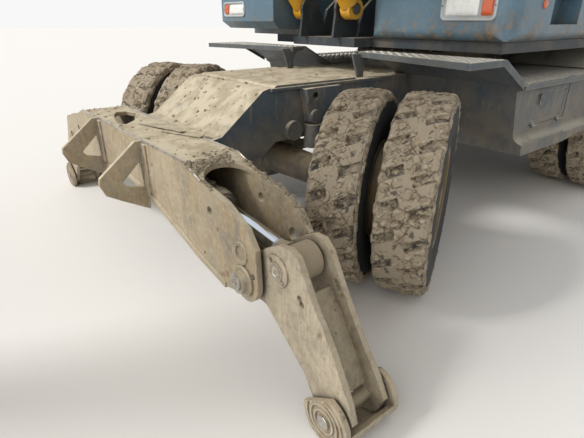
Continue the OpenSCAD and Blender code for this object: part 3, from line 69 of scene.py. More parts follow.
def linear(code):
    parts = [int(code[i:i + 2], 16) / 255 for i in (1, 3, 5)]
    return tuple(p / 12.92 if p <= 0.04045 else ((p + 0.055) / 1.055) ** 2.4 for p in parts) + (1.0,)


# adds one node: hex colours are turned to linear, a link may be a socket or a node's first output
def addNode(tree, kind, settings=None, links=None):
    node = tree.nodes.new("ShaderNode" + kind)
    for key, value in (settings or {}).items():
        if isinstance(value, str) and value.startswith("#"):
            value = linear(value)
        if isinstance(key, str) and hasattr(node, key):
            setattr(node, key, value)
        else:
            node.inputs[key].default_value = value
    for key, source in (links or {}).items():
        if isinstance(source, bpy.types.Node):
            source = next(socket for socket in source.outputs if socket.enabled)
        tree.links.new(source, node.inputs[key])
    return node


def startMaterial(name):
    material = bpy.data.materials.new(name)
    material.use_nodes = True
    tree = material.node_tree
    tree.nodes.clear()
    return material, tree


def finishMaterial(tree, settings, links):
    shader = addNode(tree, "BsdfPrincipled", settings, links)
    addNode(tree, "OutputMaterial", {}, {"Surface": shader})


# Alkyd machine enamel, sprayed on steel plate years ago: chalked to a dull sheen and blotched, with dust
# lying where it faces up, grime and painted shade darkening its corners (from the AO node) and its edges
# rubbed pale. A coat is: where it lies, size of its patches in mm, from and to (more is less of it), how much
# it hides, its colour
def weatheredPaint(name, look):
    material, tree = startMaterial(name)
    coords = addNode(tree, "TexCoord")
    place = coords.outputs["Object"]
    facing = addNode(tree, "SeparateXYZ", {}, {0: coords.outputs["Normal"]}).outputs["Z"]
    height = addNode(tree, "SeparateXYZ", {}, {0: place}).outputs["Z"]
    rounded = addNode(tree, "Bevel", {"samples": 4, "Radius": look["edgeMm"] / 1000})
    flat = addNode(tree, "NewGeometry").outputs["Normal"]
    turned = addNode(tree, "VectorMath", {"operation": "DOT_PRODUCT"}, {0: rounded, 1: flat}).outputs["Value"]
    # AO darkness: the corners coats below lay painted shade into the colour where a spot is shut in
    cornerShade = addNode(tree, "AmbientOcclusion", {"samples": 4, "Distance": 0.07}).outputs["AO"]
    runs = addNode(tree, "Mapping", {"Scale": (1.0, 1.0, 0.13)}, {"Vector": place})
    masks = {
        "lying": addNode(tree, "MapRange", {"From Min": 0.25, "From Max": 0.85}, {"Value": facing}),
        "edges": addNode(tree, "MapRange", {"From Min": 0.995, "From Max": 0.9}, {"Value": turned}),
        "corners": addNode(tree, "MapRange", {"From Min": 0.8, "From Max": 0.4}, {"Value": cornerShade}),
        "low": addNode(tree, "MapRange", {"From Min": look["lowFrom"], "From Max": look["lowTo"]},
                       {"Value": height}),
    }
    colour, dust = None, None
    for where, size, low, high, amount, tint in look["coats"]:
        spread = addNode(tree, "TexNoise", {"Scale": 1000 / size, "Detail": 7.0, "Roughness": 0.66},
                         {"Vector": runs if where == "runs" else place})
        cover = addNode(tree, "MapRange", {"From Min": low, "From Max": high, "To Max": amount},
                        {"Value": spread})
        if where in masks:
            cover = addNode(tree, "Math", {"operation": "MULTIPLY"}, {0: cover, 1: masks[where]})
        if where == "lying":
            dust = cover
        if colour is None:
            colour = addNode(tree, "Mix", {"data_type": "RGBA", 6: look["paint"], 7: tint}, {0: cover})
        else:
            colour = addNode(tree, "Mix", {"data_type": "RGBA", 7: tint}, {0: cover, 6: colour})
    # spray grain 6 mm apart, coarser than the real 2 mm so that it shows, then crumbs 28 mm apart
    grain = addNode(tree, "TexNoise", {"Scale": 170.0, "Detail": 3.0}, {"Vector": place})
    normal = addNode(tree, "Bump", {"Distance": 0.0012, "Strength": 0.35},
                     {"Height": grain, "Normal": rounded})
    crumbs = addNode(tree, "TexNoise", {"Scale": 36.0, "Detail": 8.0, "Roughness": 0.72}, {"Vector": place})
    normal = addNode(tree, "Bump", {"Distance": look["lumpMm"] / 1000, "Strength": 0.75},
                     {"Height": crumbs, "Normal": normal})
    rough = addNode(tree, "MapRange", {"To Min": look["roughness"], "To Max": 0.95}, {"Value": dust})
    finishMaterial(tree, {"IOR": 1.5}, {"Base Color": colour, "Roughness": rough, "Normal": normal})
    return material


# in each look the corners coat is grime and painted shade, laid where the AO node finds the spot shut in
beamPaintLook = {
    "paint": "#9a8d76", "edgeMm": 6, "lumpMm": 5, "roughness": 0.68, "lowFrom": 1.25, "lowTo": 0.45,
    "coats": [
        ("all", 170, 0.42, 0.6, 0.9, "#7f776a"), ("runs", 22, 0.44, 0.66, 0.62, "#b8975c"),
        ("all", 420, 0.42, 0.6, 0.6, "#aa9e87"), ("runs", 9, 0.55, 0.66, 0.6, "#6e6659"),
        ("all", 34, 0.5, 0.62, 0.5, "#b3a68d"), ("all", 11, 0.58, 0.67, 0.6, "#6a6052"),
        ("all", 90, 0.62, 0.68, 0.75, "#74563f"), ("corners", 60, 0.3, 0.5, 0.65, "#4d4437"),
        ("lying", 420, 0.25, 0.45, 0.97, "#a89a7e"), ("lying", 110, 0.38, 0.56, 0.95, "#c9bea5"),
        ("edges", 25, 0.4, 0.55, 0.85, "#cdc4b0"),
    ],
}
legPaintLook = {
    "paint": "#aca08a", "edgeMm": 5, "lumpMm": 3, "roughness": 0.66, "lowFrom": 1.25, "lowTo": 0.45,
    "coats": [
        ("all", 160, 0.42, 0.62, 0.8, "#968b78"), ("runs", 12, 0.5, 0.62, 0.55, "#bfb49e"),
        ("all", 40, 0.5, 0.64, 0.45, "#857a68"),
        ("all", 9, 0.58, 0.67, 0.6, "#6f6656"), ("all", 70, 0.62, 0.7, 0.8, "#7b5b40"),
        ("corners", 60, 0.3, 0.5, 0.7, "#554b3d"), ("lying", 130, 0.35, 0.55, 0.9, "#b9aa8d"),
        ("edges", 22, 0.42, 0.56, 0.8, "#8a6a4a"), ("edges", 60, 0.5, 0.56, 0.9, "#cabfa9"),
    ],
}
chassisPaintLook = {
    "paint": "#4f5960", "edgeMm": 6, "lumpMm": 4, "roughness": 0.6, "lowFrom": 1.25, "lowTo": 0.45, "coats": [
        ("all", 260, 0.4, 0.6, 0.85, "#414a50"), ("all", 420, 0.44, 0.62, 0.6, "#8a7f6c"),
        ("runs", 40, 0.55, 0.66, 0.45, "#94886f"), ("all", 70, 0.63, 0.7, 0.8, "#634836"),
        ("corners", 80, 0.3, 0.5, 0.7, "#40382f"), ("lying", 300, 0.2, 0.42, 0.98, "#a4967b"),
        ("lying", 90, 0.4, 0.56, 0.95, "#c4b9a1"), ("edges", 30, 0.42, 0.56, 0.75, "#a9a496"),
    ],
}
stepPaintLook = {
    "paint": "#4d575e", "edgeMm": 4, "lumpMm": 2.5, "roughness": 0.55, "lowFrom": 1.25, "lowTo": 0.45,
    "coats": [
        ("all", 300, 0.42, 0.62, 0.8, "#414a50"), ("all", 380, 0.44, 0.6, 0.45, "#6a665c"),
        ("all", 8, 0.6, 0.67, 0.4, "#8f8d86"), ("runs", 30, 0.56, 0.66, 0.4, "#8f8572"),
        ("all", 60, 0.64, 0.7, 0.8, "#674b38"), ("low", 160, 0.36, 0.6, 0.75, "#8c7d66"),
        # the pale coat on faces that look up is dust, made paler as painted sunlight on the step and box tops
        ("corners", 70, 0.3, 0.5, 0.7, "#423a30"), ("lying", 220, 0.25, 0.5, 0.9, "#b9b3a4"),
        ("edges", 22, 0.36, 0.52, 0.85, "#b4b4ac"),
    ],
}
upperPaintLook = {
    "paint": "#587484", "edgeMm": 6, "lumpMm": 0.8, "roughness": 0.36, "lowFrom": 1.46, "lowTo": 1.29,
    "coats": [
        ("all", 380, 0.4, 0.62, 0.7, "#4b6575"), ("all", 7, 0.62, 0.68, 0.6, "#a9b9bf"),
        ("all", 18, 0.66, 0.72, 0.45, "#8c9aa0"), ("runs", 60, 0.56, 0.68, 0.35, "#7c7f7a"),
        ("all", 110, 0.67, 0.72, 0.7, "#6e5340"), ("corners", 60, 0.3, 0.5, 0.5, "#3b3a36"),
        ("low", 130, 0.44, 0.6, 0.8, "#5d5040"), ("low", 45, 0.52, 0.62, 0.85, "#8a7458"),
        ("lying", 240, 0.3, 0.6, 0.6, "#989484"), ("edges", 30, 0.44, 0.58, 0.6, "#7a6752"),
    ],
}
yellowPaintLook = {
    "paint": "#d9a021", "edgeMm": 6, "lumpMm": 1.2, "roughness": 0.4, "lowFrom": 1.25, "lowTo": 0.45,
    "coats": [
        ("all", 320, 0.42, 0.62, 0.6, "#c88e1d"), ("all", 500, 0.46, 0.66, 0.45, "#b79a5a"),
        ("all", 9, 0.63, 0.69, 0.5, "#8a6b35"), ("runs", 45, 0.56, 0.68, 0.5, "#99793f"),
        ("all", 80, 0.65, 0.71, 0.85, "#754a28"), ("low", 220, 0.36, 0.6, 0.7, "#94835f"),
        ("corners", 70, 0.3, 0.5, 0.7, "#4a3c26"), ("lying", 200, 0.3, 0.6, 0.75, "#ab9a75"),
        ("edges", 26, 0.4, 0.55, 0.8, "#6d5c45"),
    ],
}
rimPaintLook = {
    "paint": "#a57f31", "edgeMm": 4, "lumpMm": 4, "roughness": 0.7, "lowFrom": 1.25, "lowTo": 0.45, "coats": [
        ("all", 260, 0.25, 0.5, 0.8, "#77694f"), ("all", 120, 0.4, 0.6, 0.85, "#8a7a62"),
        ("all", 50, 0.6, 0.68, 0.8, "#5f442f"), ("corners", 60, 0.2, 0.45, 0.92, "#463d31"),
        ("lying", 120, 0.3, 0.55, 0.9, "#a0907a"), ("edges", 22, 0.44, 0.6, 0.6, "#8f8061"),
    ],
}
ironLook = {
    "paint": "#57544e", "edgeMm": 5, "lumpMm": 4, "roughness": 0.72, "lowFrom": 1.25, "lowTo": 0.45,
    "coats": [
        ("all", 180, 0.42, 0.6, 0.8, "#46423c"), ("all", 300, 0.42, 0.6, 0.7, "#8a7c68"),
        ("all", 40, 0.6, 0.68, 0.8, "#674836"), ("corners", 70, 0.3, 0.5, 0.7, "#373129"),
        ("lying", 130, 0.3, 0.5, 0.92, "#a49478"), ("edges", 25, 0.46, 0.6, 0.5, "#8b887f"),
    ],
}
# underside enamel painted near black: dirt, and painted shade for the dark band under the cab base
shadedDeckPaintLook = {
    "paint": "#2f383e", "edgeMm": 6, "lumpMm": 3, "roughness": 0.6, "lowFrom": 1.25, "lowTo": 0.45, "coats": [
        ("all", 260, 0.4, 0.62, 0.8, "#272d31"), ("all", 300, 0.48, 0.66, 0.6, "#6a5f50"),
        ("all", 50, 0.6, 0.68, 0.7, "#58412f"), ("corners", 70, 0.3, 0.5, 0.7, "#28241f"),
        ("lying", 160, 0.3, 0.55, 0.85, "#9b8f79"), ("edges", 30, 0.42, 0.56, 0.6, "#7f7a6e"),
    ],
}
beamPaint = weatheredPaint("worn_enamel_under_dust", beamPaintLook)
legPaint = weatheredPaint("scuffed_enamel_on_leg_plate", legPaintLook)
chassisPaint = weatheredPaint("blue_grey_frame_enamel", chassisPaintLook)
stepPaint = weatheredPaint("grey_step_enamel", stepPaintLook)
upperPaint = weatheredPaint("steel_blue_body_enamel", upperPaintLook)
yellowPaint = weatheredPaint("faded_yellow_enamel", yellowPaintLook)
rimPaint = weatheredPaint("muddy_rim_enamel", rimPaintLook)
castIron = weatheredPaint("dusty_cast_iron", ironLook)
shadedDeckPaint = weatheredPaint("underframe_enamel_with_painted_shade", shadedDeckPaintLook)


# Clay soil dried on tyres and plates: matt and crumbly, pale on its high spots, dark in its cracks, which
# part it into 45 mm cakes, with bits of straw in it; its hollows are darkened as painted shade
def driedMud(name, look):
    material, tree = startMaterial(name)
    place = addNode(tree, "TexCoord").outputs["Object"]
    cloud = addNode(tree, "TexNoise", {"Scale": 15.0, "Detail": 8.0, "Roughness": 0.7}, {"Vector": place})
    shade = addNode(tree, "MapRange", {"From Min": 0.36, "From Max": 0.62}, {"Value": cloud})
    colour = addNode(tree, "Mix", {"data_type": "RGBA", 6: look["dark"], 7: look["pale"]}, {0: shade})
    bent = addNode(tree, "Mix", {"data_type": "VECTOR", 0: 0.06}, {4: place, 5: cloud.outputs["Color"]})
    # cracks part it into cakes 45 mm across
    cakes = addNode(tree, "TexVoronoi", {"feature": "DISTANCE_TO_EDGE", "Scale": 22.0},
                    {"Vector": bent.outputs[1]})
    crack = addNode(tree, "MapRange", {"From Min": 0.07, "From Max": 0.0, "To Max": look["crack"]},
                    {"Value": cakes.outputs["Distance"]})
    colour = addNode(tree, "Mix", {"data_type": "RGBA", 7: look["deep"]}, {0: crack, 6: colour})
    # darker in the hollows, found from pointiness: painted shade
    bulge = addNode(tree, "NewGeometry").outputs["Pointiness"]
    hollow = addNode(tree, "MapRange", {"From Min": 0.5, "From Max": 0.44, "To Max": 0.85}, {"Value": bulge})
    colour = addNode(tree, "Mix", {"data_type": "RGBA", 7: look["deep"]}, {0: hollow, 6: colour})
    ridge = addNode(tree, "MapRange", {"From Min": 0.515, "From Max": 0.57, "To Max": 0.7}, {"Value": bulge})
    colour = addNode(tree, "Mix", {"data_type": "RGBA", 7: look["high"]}, {0: ridge, 6: colour})
    # straw chips 4 mm wide and 16 mm long
    straw = addNode(tree, "Mapping", {"Scale": (260.0, 60.0, 150.0), "Rotation": (0.6, 0.3, 0.9)},
                    {"Vector": place})
    bits = addNode(tree, "TexNoise", {"Scale": 1.0, "Detail": 2.0}, {"Vector": straw})
    bits = addNode(tree, "MapRange", {"From Min": 0.69, "From Max": 0.73, "To Max": 0.7}, {"Value": bits})
    colour = addNode(tree, "Mix", {"data_type": "RGBA", 7: "#cdb88f"}, {0: bits, 6: colour})
    crumbs = addNode(tree, "TexNoise", {"Scale": 65.0, "Detail": 9.0, "Roughness": 0.78}, {"Vector": place})
    normal = addNode(tree, "Bump", {"Distance": 0.02, "Strength": 1.0}, {"Height": crumbs})
    normal = addNode(tree, "Bump", {"Distance": 0.006, "Strength": 0.8, "invert": True},
                     {"Height": crack, "Normal": normal})
    finishMaterial(tree, {"Roughness": 0.96, "IOR": 1.45}, {"Base Color": colour, "Normal": normal})
    return material


# the clay on the tyres is paler than the same clay on the plates: painted sunlight on the tread
sunlitTreadMud = driedMud("dried_clay_on_tyres_with_painted_sunlight", {"pale": "#c2b298", "dark": "#a08f77", "deep": "#54493c",
                                            "high": "#ddd0b8", "crack": 0.75})
plateMud = driedMud("dried_clay_on_plates", {"pale": "#a8987e", "dark": "#83745e", "deep": "#4c4234",
                                             "high": "#bfb199", "crack": 0.4})


# Tyre rubber, moulded and worn: near black and ringed on the sidewall, clay ground into the tread
def tyreRubber(name, centre, turn):
    material, tree = startMaterial(name)
    place = addNode(tree, "TexCoord").outputs["Object"]
    wheel = addNode(tree, "Mapping", {"vector_type": "TEXTURE", "Location": centre,
                                      "Rotation": (0.0, 0.0, turn)},
                    {"Vector": place})
    disc = addNode(tree, "VectorMath", {"operation": "MULTIPLY", 1: (1.0, 0.0, 1.0)},
                   {0: wheel}).outputs["Vector"]
    radius = addNode(tree, "VectorMath", {"operation": "LENGTH"}, {0: disc}).outputs["Value"]
    cloud = addNode(tree, "TexNoise", {"Scale": 13.0, "Detail": 7.0, "Roughness": 0.7}, {"Vector": place})
    reach = addNode(tree, "Math", {"operation": "MULTIPLY_ADD", 1: 0.08, 2: -0.04}, {0: cloud})
    reach = addNode(tree, "Math", {"operation": "ADD"}, {0: radius, 1: reach})
    film = addNode(tree, "MapRange", {"From Min": 0.4, "From Max": 0.72, "To Max": 0.35}, {"Value": cloud})
    colour = addNode(tree, "Mix", {"data_type": "RGBA", 6: "#232627", 7: "#4b4843"}, {0: film})
    ground = addNode(tree, "MapRange", {"From Min": 0.5, "From Max": 0.515, "To Max": 0.92}, {"Value": reach})
    colour = addNode(tree, "Mix", {"data_type": "RGBA", 7: "#a89a84"}, {0: ground, 6: colour})
    patches = addNode(tree, "TexNoise", {"Scale": 24.0, "Detail": 5.0}, {"Vector": place})
    rubbed = addNode(tree, "MapRange", {"From Min": 0.57, "From Max": 0.63, "To Max": 0.8},
                     {"Value": patches})
    colour = addNode(tree, "Mix", {"data_type": "RGBA", 7: "#363432"}, {0: rubbed, 6: colour})
    waves = addNode(tree, "Math", {"operation": "MULTIPLY", 1: 700.0}, {0: radius})   # rings 9 mm apart
    rings = addNode(tree, "Math", {"operation": "SINE"}, {0: waves})
    normal = addNode(tree, "Bump", {"Distance": 0.0006, "Strength": 0.5}, {"Height": rings})
    normal = addNode(tree, "Bump", {"Distance": 0.003, "Strength": 0.5}, {"Height": cloud, "Normal": normal})
    crumbs = addNode(tree, "TexNoise", {"Scale": 70.0, "Detail": 8.0, "Roughness": 0.75}, {"Vector": place})
    crumbs = addNode(tree, "Math", {"operation": "MULTIPLY"}, {0: crumbs, 1: ground})
    normal = addNode(tree, "Bump", {"Distance": 0.012, "Strength": 0.9}, {"Height": crumbs, "Normal": normal})
    finishMaterial(tree, {"Roughness": 0.82, "IOR": 1.52}, {"Base Color": colour, "Normal": normal})
    return material


# Hard chrome on a ground rod: mirror bright, with dust stuck to the oil film near the eye it ends in
def chromedRod(name, eye, reach):
    material, tree = startMaterial(name)
    place = addNode(tree, "TexCoord").outputs["Object"]
    away = addNode(tree, "VectorMath", {"operation": "DISTANCE", 1: eye}, {0: place}).outputs["Value"]
    cloud = addNode(tree, "TexNoise", {"Scale": 12.0, "Detail": 7.0, "Roughness": 0.7}, {"Vector": place})
    dusty = addNode(tree, "MapRange", {"From Min": reach + 0.015, "From Max": reach - 0.005}, {"Value": away})
    marks = addNode(tree, "MapRange", {"From Min": 0.56, "From Max": 0.74, "To Max": 0.3}, {"Value": cloud})
    cover = addNode(tree, "Math", {"operation": "MAXIMUM"}, {0: dusty, 1: marks})
    dust = addNode(tree, "Mix", {"data_type": "RGBA", 6: "#8d806c", 7: "#ab9d84"}, {0: cloud})
    colour = addNode(tree, "Mix", {"data_type": "RGBA", 6: "#c9d3de"}, {0: cover, 7: dust})
    rough = addNode(tree, "MapRange", {"To Min": 0.08, "To Max": 0.85}, {"Value": cover})
    metal = addNode(tree, "MapRange", {"From Min": 1.0, "From Max": 0.0}, {"Value": cover})
    lumps = addNode(tree, "Math", {"operation": "MULTIPLY"}, {0: cloud, 1: dusty})
    normal = addNode(tree, "Bump", {"Distance": 0.006, "Strength": 0.7}, {"Height": lumps})
    finishMaterial(tree, {}, {"Base Color": colour, "Roughness": rough, "Metallic": metal, "Normal": normal})
    return material


# Steel worn bare by the ground: scratched, dull grey, browned in the pits
def groundSteel(name, look):
    material, tree = startMaterial(name)
    place = addNode(tree, "TexCoord").outputs["Object"]
    scores = addNode(tree, "Mapping", {"Scale": look["scores"]}, {"Vector": place})
    # scores 6 to 25 mm apart, wider than the real ones so that they show
    lines = addNode(tree, "TexNoise", {"Scale": 1.0, "Detail": 5.0}, {"Vector": scores})
    cloud = addNode(tree, "TexNoise", {"Scale": 9.0, "Detail": 7.0, "Roughness": 0.65}, {"Vector": place})
    shade = addNode(tree, "MapRange", {"From Min": 0.42, "From Max": 0.62}, {"Value": cloud})
    colour = addNode(tree, "Mix", {"data_type": "RGBA", 6: look["bright"], 7: look["dark"]}, {0: shade})
    bare = addNode(tree, "MapRange", {"From Min": 0.55, "From Max": 0.68, "To Max": 0.75}, {"Value": lines})
    colour = addNode(tree, "Mix", {"data_type": "RGBA", 7: look["score"]}, {0: bare, 6: colour})
    normal = addNode(tree, "Bump", {"Distance": 0.0015, "Strength": 0.5}, {"Height": lines})
    finishMaterial(tree, {"Metallic": look["metallic"], "Roughness": look["roughness"]},
                   {"Base Color": colour, "Normal": normal})
    return material


# Toughened float glass with a grey-green tint: clear and glossy, hazed where dust has dried on it
def cabGlass(name):
    material, tree = startMaterial(name)
    place = addNode(tree, "TexCoord").outputs["Object"]
    cloud = addNode(tree, "TexNoise", {"Scale": 3.0, "Detail": 6.0, "Roughness": 0.65}, {"Vector": place})
    dust = addNode(tree, "MapRange", {"From Min": 0.4, "From Max": 0.8}, {"Value": cloud})
    rough = addNode(tree, "MapRange", {"To Min": 0.04, "To Max": 0.5}, {"Value": dust})
    colour = addNode(tree, "Mix", {"data_type": "RGBA", 6: "#3d4a49", 7: "#a39c8c"}, {0: dust})
    solid = addNode(tree, "MapRange", {"To Min": 0.42, "To Max": 0.72}, {"Value": dust})
    finishMaterial(tree, {"IOR": 1.52}, {"Base Color": colour, "Roughness": rough, "Alpha": solid})
    return material


# Lamp lenses, moulded acrylic over a bright reflector, glossy and smeared with dust
def lampLens(name, tint, smear):
    material, tree = startMaterial(name)
    place = addNode(tree, "TexCoord").outputs["Object"]
    cloud = addNode(tree, "TexNoise", {"Scale": 34.0, "Detail": 6.0, "Roughness": 0.7}, {"Vector": place})
    cover = addNode(tree, "MapRange", {"From Min": 0.48, "From Max": 0.75, "To Max": 0.5}, {"Value": cloud})
    colour = addNode(tree, "Mix", {"data_type": "RGBA", 6: tint, 7: smear}, {0: cover})
    rough = addNode(tree, "MapRange", {"To Min": 0.1, "To Max": 0.6}, {"Value": cover})
    finishMaterial(tree, {"IOR": 1.49, "Coat Weight": 0.5, "Coat Roughness": 0.06},
                   {"Base Color": colour, "Roughness": rough})
    return material


# Woven polyester seat cloth: threads 1.6 mm apart drawn at 4 mm so that they show
def seatCloth(name):
    material, tree = startMaterial(name)
    place = addNode(tree, "TexCoord").outputs["Object"]
    warp = addNode(tree, "TexWave", {"bands_direction": "Y", "Scale": 80.0, "Distortion": 1.5},
                   {"Vector": place})
    weft = addNode(tree, "TexWave", {"bands_direction": "Z", "Scale": 80.0, "Distortion": 1.5},
                   {"Vector": place})
    thread = addNode(tree, "Math", {"operation": "MULTIPLY"}, {0: warp.outputs["Fac"],
        1: weft.outputs["Fac"]})
    colour = addNode(tree, "Mix", {"data_type": "RGBA", 6: "#202226", 7: "#3c4047"}, {0: thread})
    normal = addNode(tree, "Bump", {"Distance": 0.001, "Strength": 0.5}, {"Height": thread})
    finishMaterial(tree, {"Roughness": 0.95, "Sheen Weight": 0.3, "Sheen Roughness": 0.5},
                   {"Base Color": colour, "Normal": normal})
    return material


# Moulded ABS, rubber and chalked black trim: the mould's fine grain is drawn at 3 mm so that it shows
def mouldedTrim(name, tint, dust, rough):
    material, tree = startMaterial(name)
    place = addNode(tree, "TexCoord").outputs["Object"]
    cloud = addNode(tree, "TexNoise", {"Scale": 7.0, "Detail": 6.0, "Roughness": 0.65}, {"Vector": place})
    cover = addNode(tree, "MapRange", {"From Min": 0.42, "From Max": 0.75, "To Max": 0.55}, {"Value": cloud})
    colour = addNode(tree, "Mix", {"data_type": "RGBA", 6: tint, 7: dust}, {0: cover})
    grain = addNode(tree, "TexNoise", {"Scale": 330.0, "Detail": 2.0}, {"Vector": place})
    normal = addNode(tree, "Bump", {"Distance": 0.0006, "Strength": 0.3}, {"Height": grain})
    finishMaterial(tree, {"Roughness": rough, "IOR": 1.5}, {"Base Color": colour, "Normal": normal})
    return material


bucketSteel = groundSteel("ground_worn_steel", {
    "bright": "#6d665c", "dark": "#4b4036", "score": "#98948c", "scores": (14.0, 160.0, 40.0),
    "metallic": 0.5, "roughness": 0.5})
pinSteel = groundSteel("rubbed_pin_steel", {
    "bright": "#b5b2aa", "dark": "#7f776b", "score": "#d6d3cb", "scores": (60.0, 140.0, 140.0),
    "metallic": 0.85, "roughness": 0.3})
boltSteel = groundSteel("dusty_zinc_bolt", {
    "bright": "#8e8677", "dark": "#6c6355", "score": "#a89f8d", "scores": (90.0, 90.0, 90.0),
    "metallic": 0.35, "roughness": 0.6})
# lozenge tops worn bare by boots, painted near white as painted sunlight on the fender and box tops
sunlitTreadSteel = groundSteel("walked_on_tread_steel_with_painted_sunlight", {
    "bright": "#dad8d0", "dark": "#aaa79c", "score": "#e8e6e0", "scores": (40.0, 70.0, 40.0), "metallic": 0.4,
    "roughness": 0.42})
glassPane = cabGlass("tinted_float_glass")
clearLens = lampLens("clear_acrylic_lens", "#e9ebe8", "#bdb7aa")
amberLens = lampLens("amber_acrylic_lens", "#cf5a24", "#9a5a3c")
clothBlack = seatCloth("woven_seat_cloth")
trimBlack = mouldedTrim("moulded_black_trim", "#26272a", "#6d675c", 0.6)
trimGrey = mouldedTrim("moulded_grey_console", "#4a4c4e", "#7a756a", 0.55)
rubberSeal = mouldedTrim("black_rubber_seal", "#1d1d1d", "#5d564b", 0.8)
bezelPale = mouldedTrim("pale_enamelled_bezel", "#b3b9ba", "#8f8a7d", 0.4)
mirrorGlass = groundSteel("silvered_mirror", {
    "bright": "#c9cfd3", "dark": "#b9bfc2", "score": "#dde1e4", "scores": (6.0, 6.0, 6.0), "metallic": 1.0,
    "roughness": 0.05})
print("stage: materials made")


# which finish each CAD node takes
nodeFinish = {
    "outrigger_beam": beamPaint, "chassis_frame": chassisPaint, "front_axle": castIron, "rear_axle": castIron,
    "driveline": castIron, "fenders": stepPaint, "toolboxes": stepPaint, "toolbox_door_left": stepPaint,
    "toolbox_door_right": stepPaint, "slew_ring": castIron, "knuckle_left": castIron,
    "knuckle_right": castIron,
    "leg_left": legPaint, "leg_right": legPaint, "foot_left": legPaint, "foot_right": legPaint,
    "leg_barrel_left": chassisPaint, "leg_barrel_right": chassisPaint, "blade": chassisPaint,
    "blade_barrels": chassisPaint, "upper_frame": shadedDeckPaint, "counterweight": upperPaint,
    "house_panels": upperPaint, "engine": castIron, "engine_hood": upperPaint, "side_door_left": upperPaint,
    "side_door_right": upperPaint, "right_tank": upperPaint, "cab_base": upperPaint, "cab_shell": upperPaint,
    "cab_door": upperPaint, "cab_glass": glassPane, "door_glass": glassPane, "seat_and_console": trimBlack,
    "headlamps": clearLens, "boom": yellowPaint, "boom_barrels": yellowPaint, "arm": yellowPaint,
    "arm_barrel": yellowPaint, "bucket_barrel": yellowPaint, "rocker": yellowPaint, "bucket_link": castIron,
    "bucket": bucketSteel,
}
steerRest = math.radians(28)
axleHeight = 0.525
wheelPlaces = {
    "front_left": ((1.745, 0.92, axleHeight), steerRest, 1),
    "front_right": ((1.745, -0.92, axleHeight), steerRest, -1),
    "rear_left": ((-1.05, 0.92, axleHeight), 0.0, 1),
    "rear_right": ((-1.05, -0.92, axleHeight), 0.0, -1),
}
rodEyes = {
    "leg_rod_left": (2.5775, 1.406, 0.552), "leg_rod_right": (2.5775, -1.406, 0.552),
    "boom_rods": (2.311, -0.125, 3.028), "arm_rod": (5.715, -0.125, 3.944),
    "bucket_rod": (5.734, -0.125, 1.267),
    "blade_rods": (-1.80, 0.0, 0.56),
}


def paintNode(name, material):
    node = nodes[name]
    node.data.materials.clear()
    node.data.materials.append(material)


for name, material in nodeFinish.items():
    paintNode(name, material)
for corner, (centre, turn, side) in wheelPlaces.items():
    paintNode("tyres_" + corner, tyreRubber("tyre_rubber_" + corner, centre, turn))
    paintNode("rims_" + corner, rimPaint)
for name, eye in rodEyes.items():
    paintNode(name, chromedRod("hard_chrome_" + name, eye, 0.125 if "leg" in name else 0.42))
print("stage: nodes painted")


# shared builders: each gives (points, faces), and a piece is made of one or more of them
def lathe(profile, around, place, axis, turn=0.0, hollow=False):
    ahead = Vector(axis).normalized()
    side = ahead.orthogonal().normalized()
    up = ahead.cross(side)
    points = []
    for radius, height in profile:
        for k in range(around):
            angle = 2 * math.pi * k / around + turn
            out = side * math.cos(angle) + up * math.sin(angle)
            points.append(Vector(place) + ahead * height + out * radius)
    rows = len(profile)
    faces = []
    for i in range(rows if hollow else rows - 1):
        j = (i + 1) % rows
        for k in range(around):
            n = (k + 1) % around
            faces.append((i * around + k, i * around + n, j * around + n, j * around + k))
    if not hollow:
        faces.append(tuple(range(around - 1, -1, -1)))
        faces.append(tuple((rows - 1) * around + k for k in range(around)))
    return points, faces


def sweep(path, radius, around=8, closed=False, wobble=0.0, seed=0):
    path = [Vector(p) for p in path]
    count = len(path)
    draw = random.Random(seed)
    points, faces = [], []
    side = None
    for i, spot in enumerate(path):
        before = path[i - 1] if (closed or i) else path[0]
        after = path[(i + 1) % count] if (closed or i < count - 1) else path[-1]
        ahead = (after - before).normalized()
        side = ahead.orthogonal() if side is None else side - ahead * side.dot(ahead)
        side.normalize()
        up = ahead.cross(side)
        size = radius * (1 + wobble * draw.uniform(-1, 1))
        for k in range(around):
            angle = 2 * math.pi * k / around
            points.append(spot + (side * math.cos(angle) + up * math.sin(angle)) * size)
    for i in range(count if closed else count - 1):
        j = (i + 1) % count
        for k in range(around):
            n = (k + 1) % around
            faces.append((i * around + k, i * around + n, j * around + n, j * around + k))
    if not closed:
        faces.append(tuple(range(around - 1, -1, -1)))
        faces.append(tuple((count - 1) * around + k for k in range(around)))
    return points, faces


def slab(outline, origin, across, up, low, high):
    across, up = Vector(across), Vector(up)
    out = across.cross(up)
    count = len(outline)
    points = [Vector(origin) + across * a + up * b + out * c for c in (low, high) for a, b in outline]
    faces = [tuple(range(count - 1, -1, -1)), tuple(range(count, 2 * count))]
    faces += [(k, (k + 1) % count, count + (k + 1) % count, count + k) for k in range(count)]
    return points, faces


def bolt(place, axis, size, height=None, turn=0.3):
    height = height or size * 0.65
    washer = lathe([(size * 1.25, -0.002), (size * 1.25, 0.0012), (size * 1.15, 0.0022)], 16, place, axis)
    head = lathe([(size, 0.0), (size, height * 0.85), (size * 0.86, height)], 6, place, axis, turn)
    return [washer, head]


def bent(path, radius, steps=6):
    out = [Vector(path[0])]
    for a, b, c in zip(path, path[1:], path[2:]):
        a, b, c = Vector(a), Vector(b), Vector(c)
        reach = min(radius, (b - a).length * 0.45, (c - b).length * 0.45)
        start, end = b + (a - b).normalized() * reach, b + (c - b).normalized() * reach
        out += [start.lerp(b, t).lerp(b.lerp(end, t), t) for t in [i / steps for i in range(steps + 1)]]
    return out + [Vector(path[-1])]


def filled(path, step):
    out = []
    for a, b in zip(path, path[1:]):
        a, b = Vector(a), Vector(b)
        parts = max(1, int((b - a).length / step))
        out += [a.lerp(b, i / parts) for i in range(parts)]
    return out + [Vector(path[-1])]


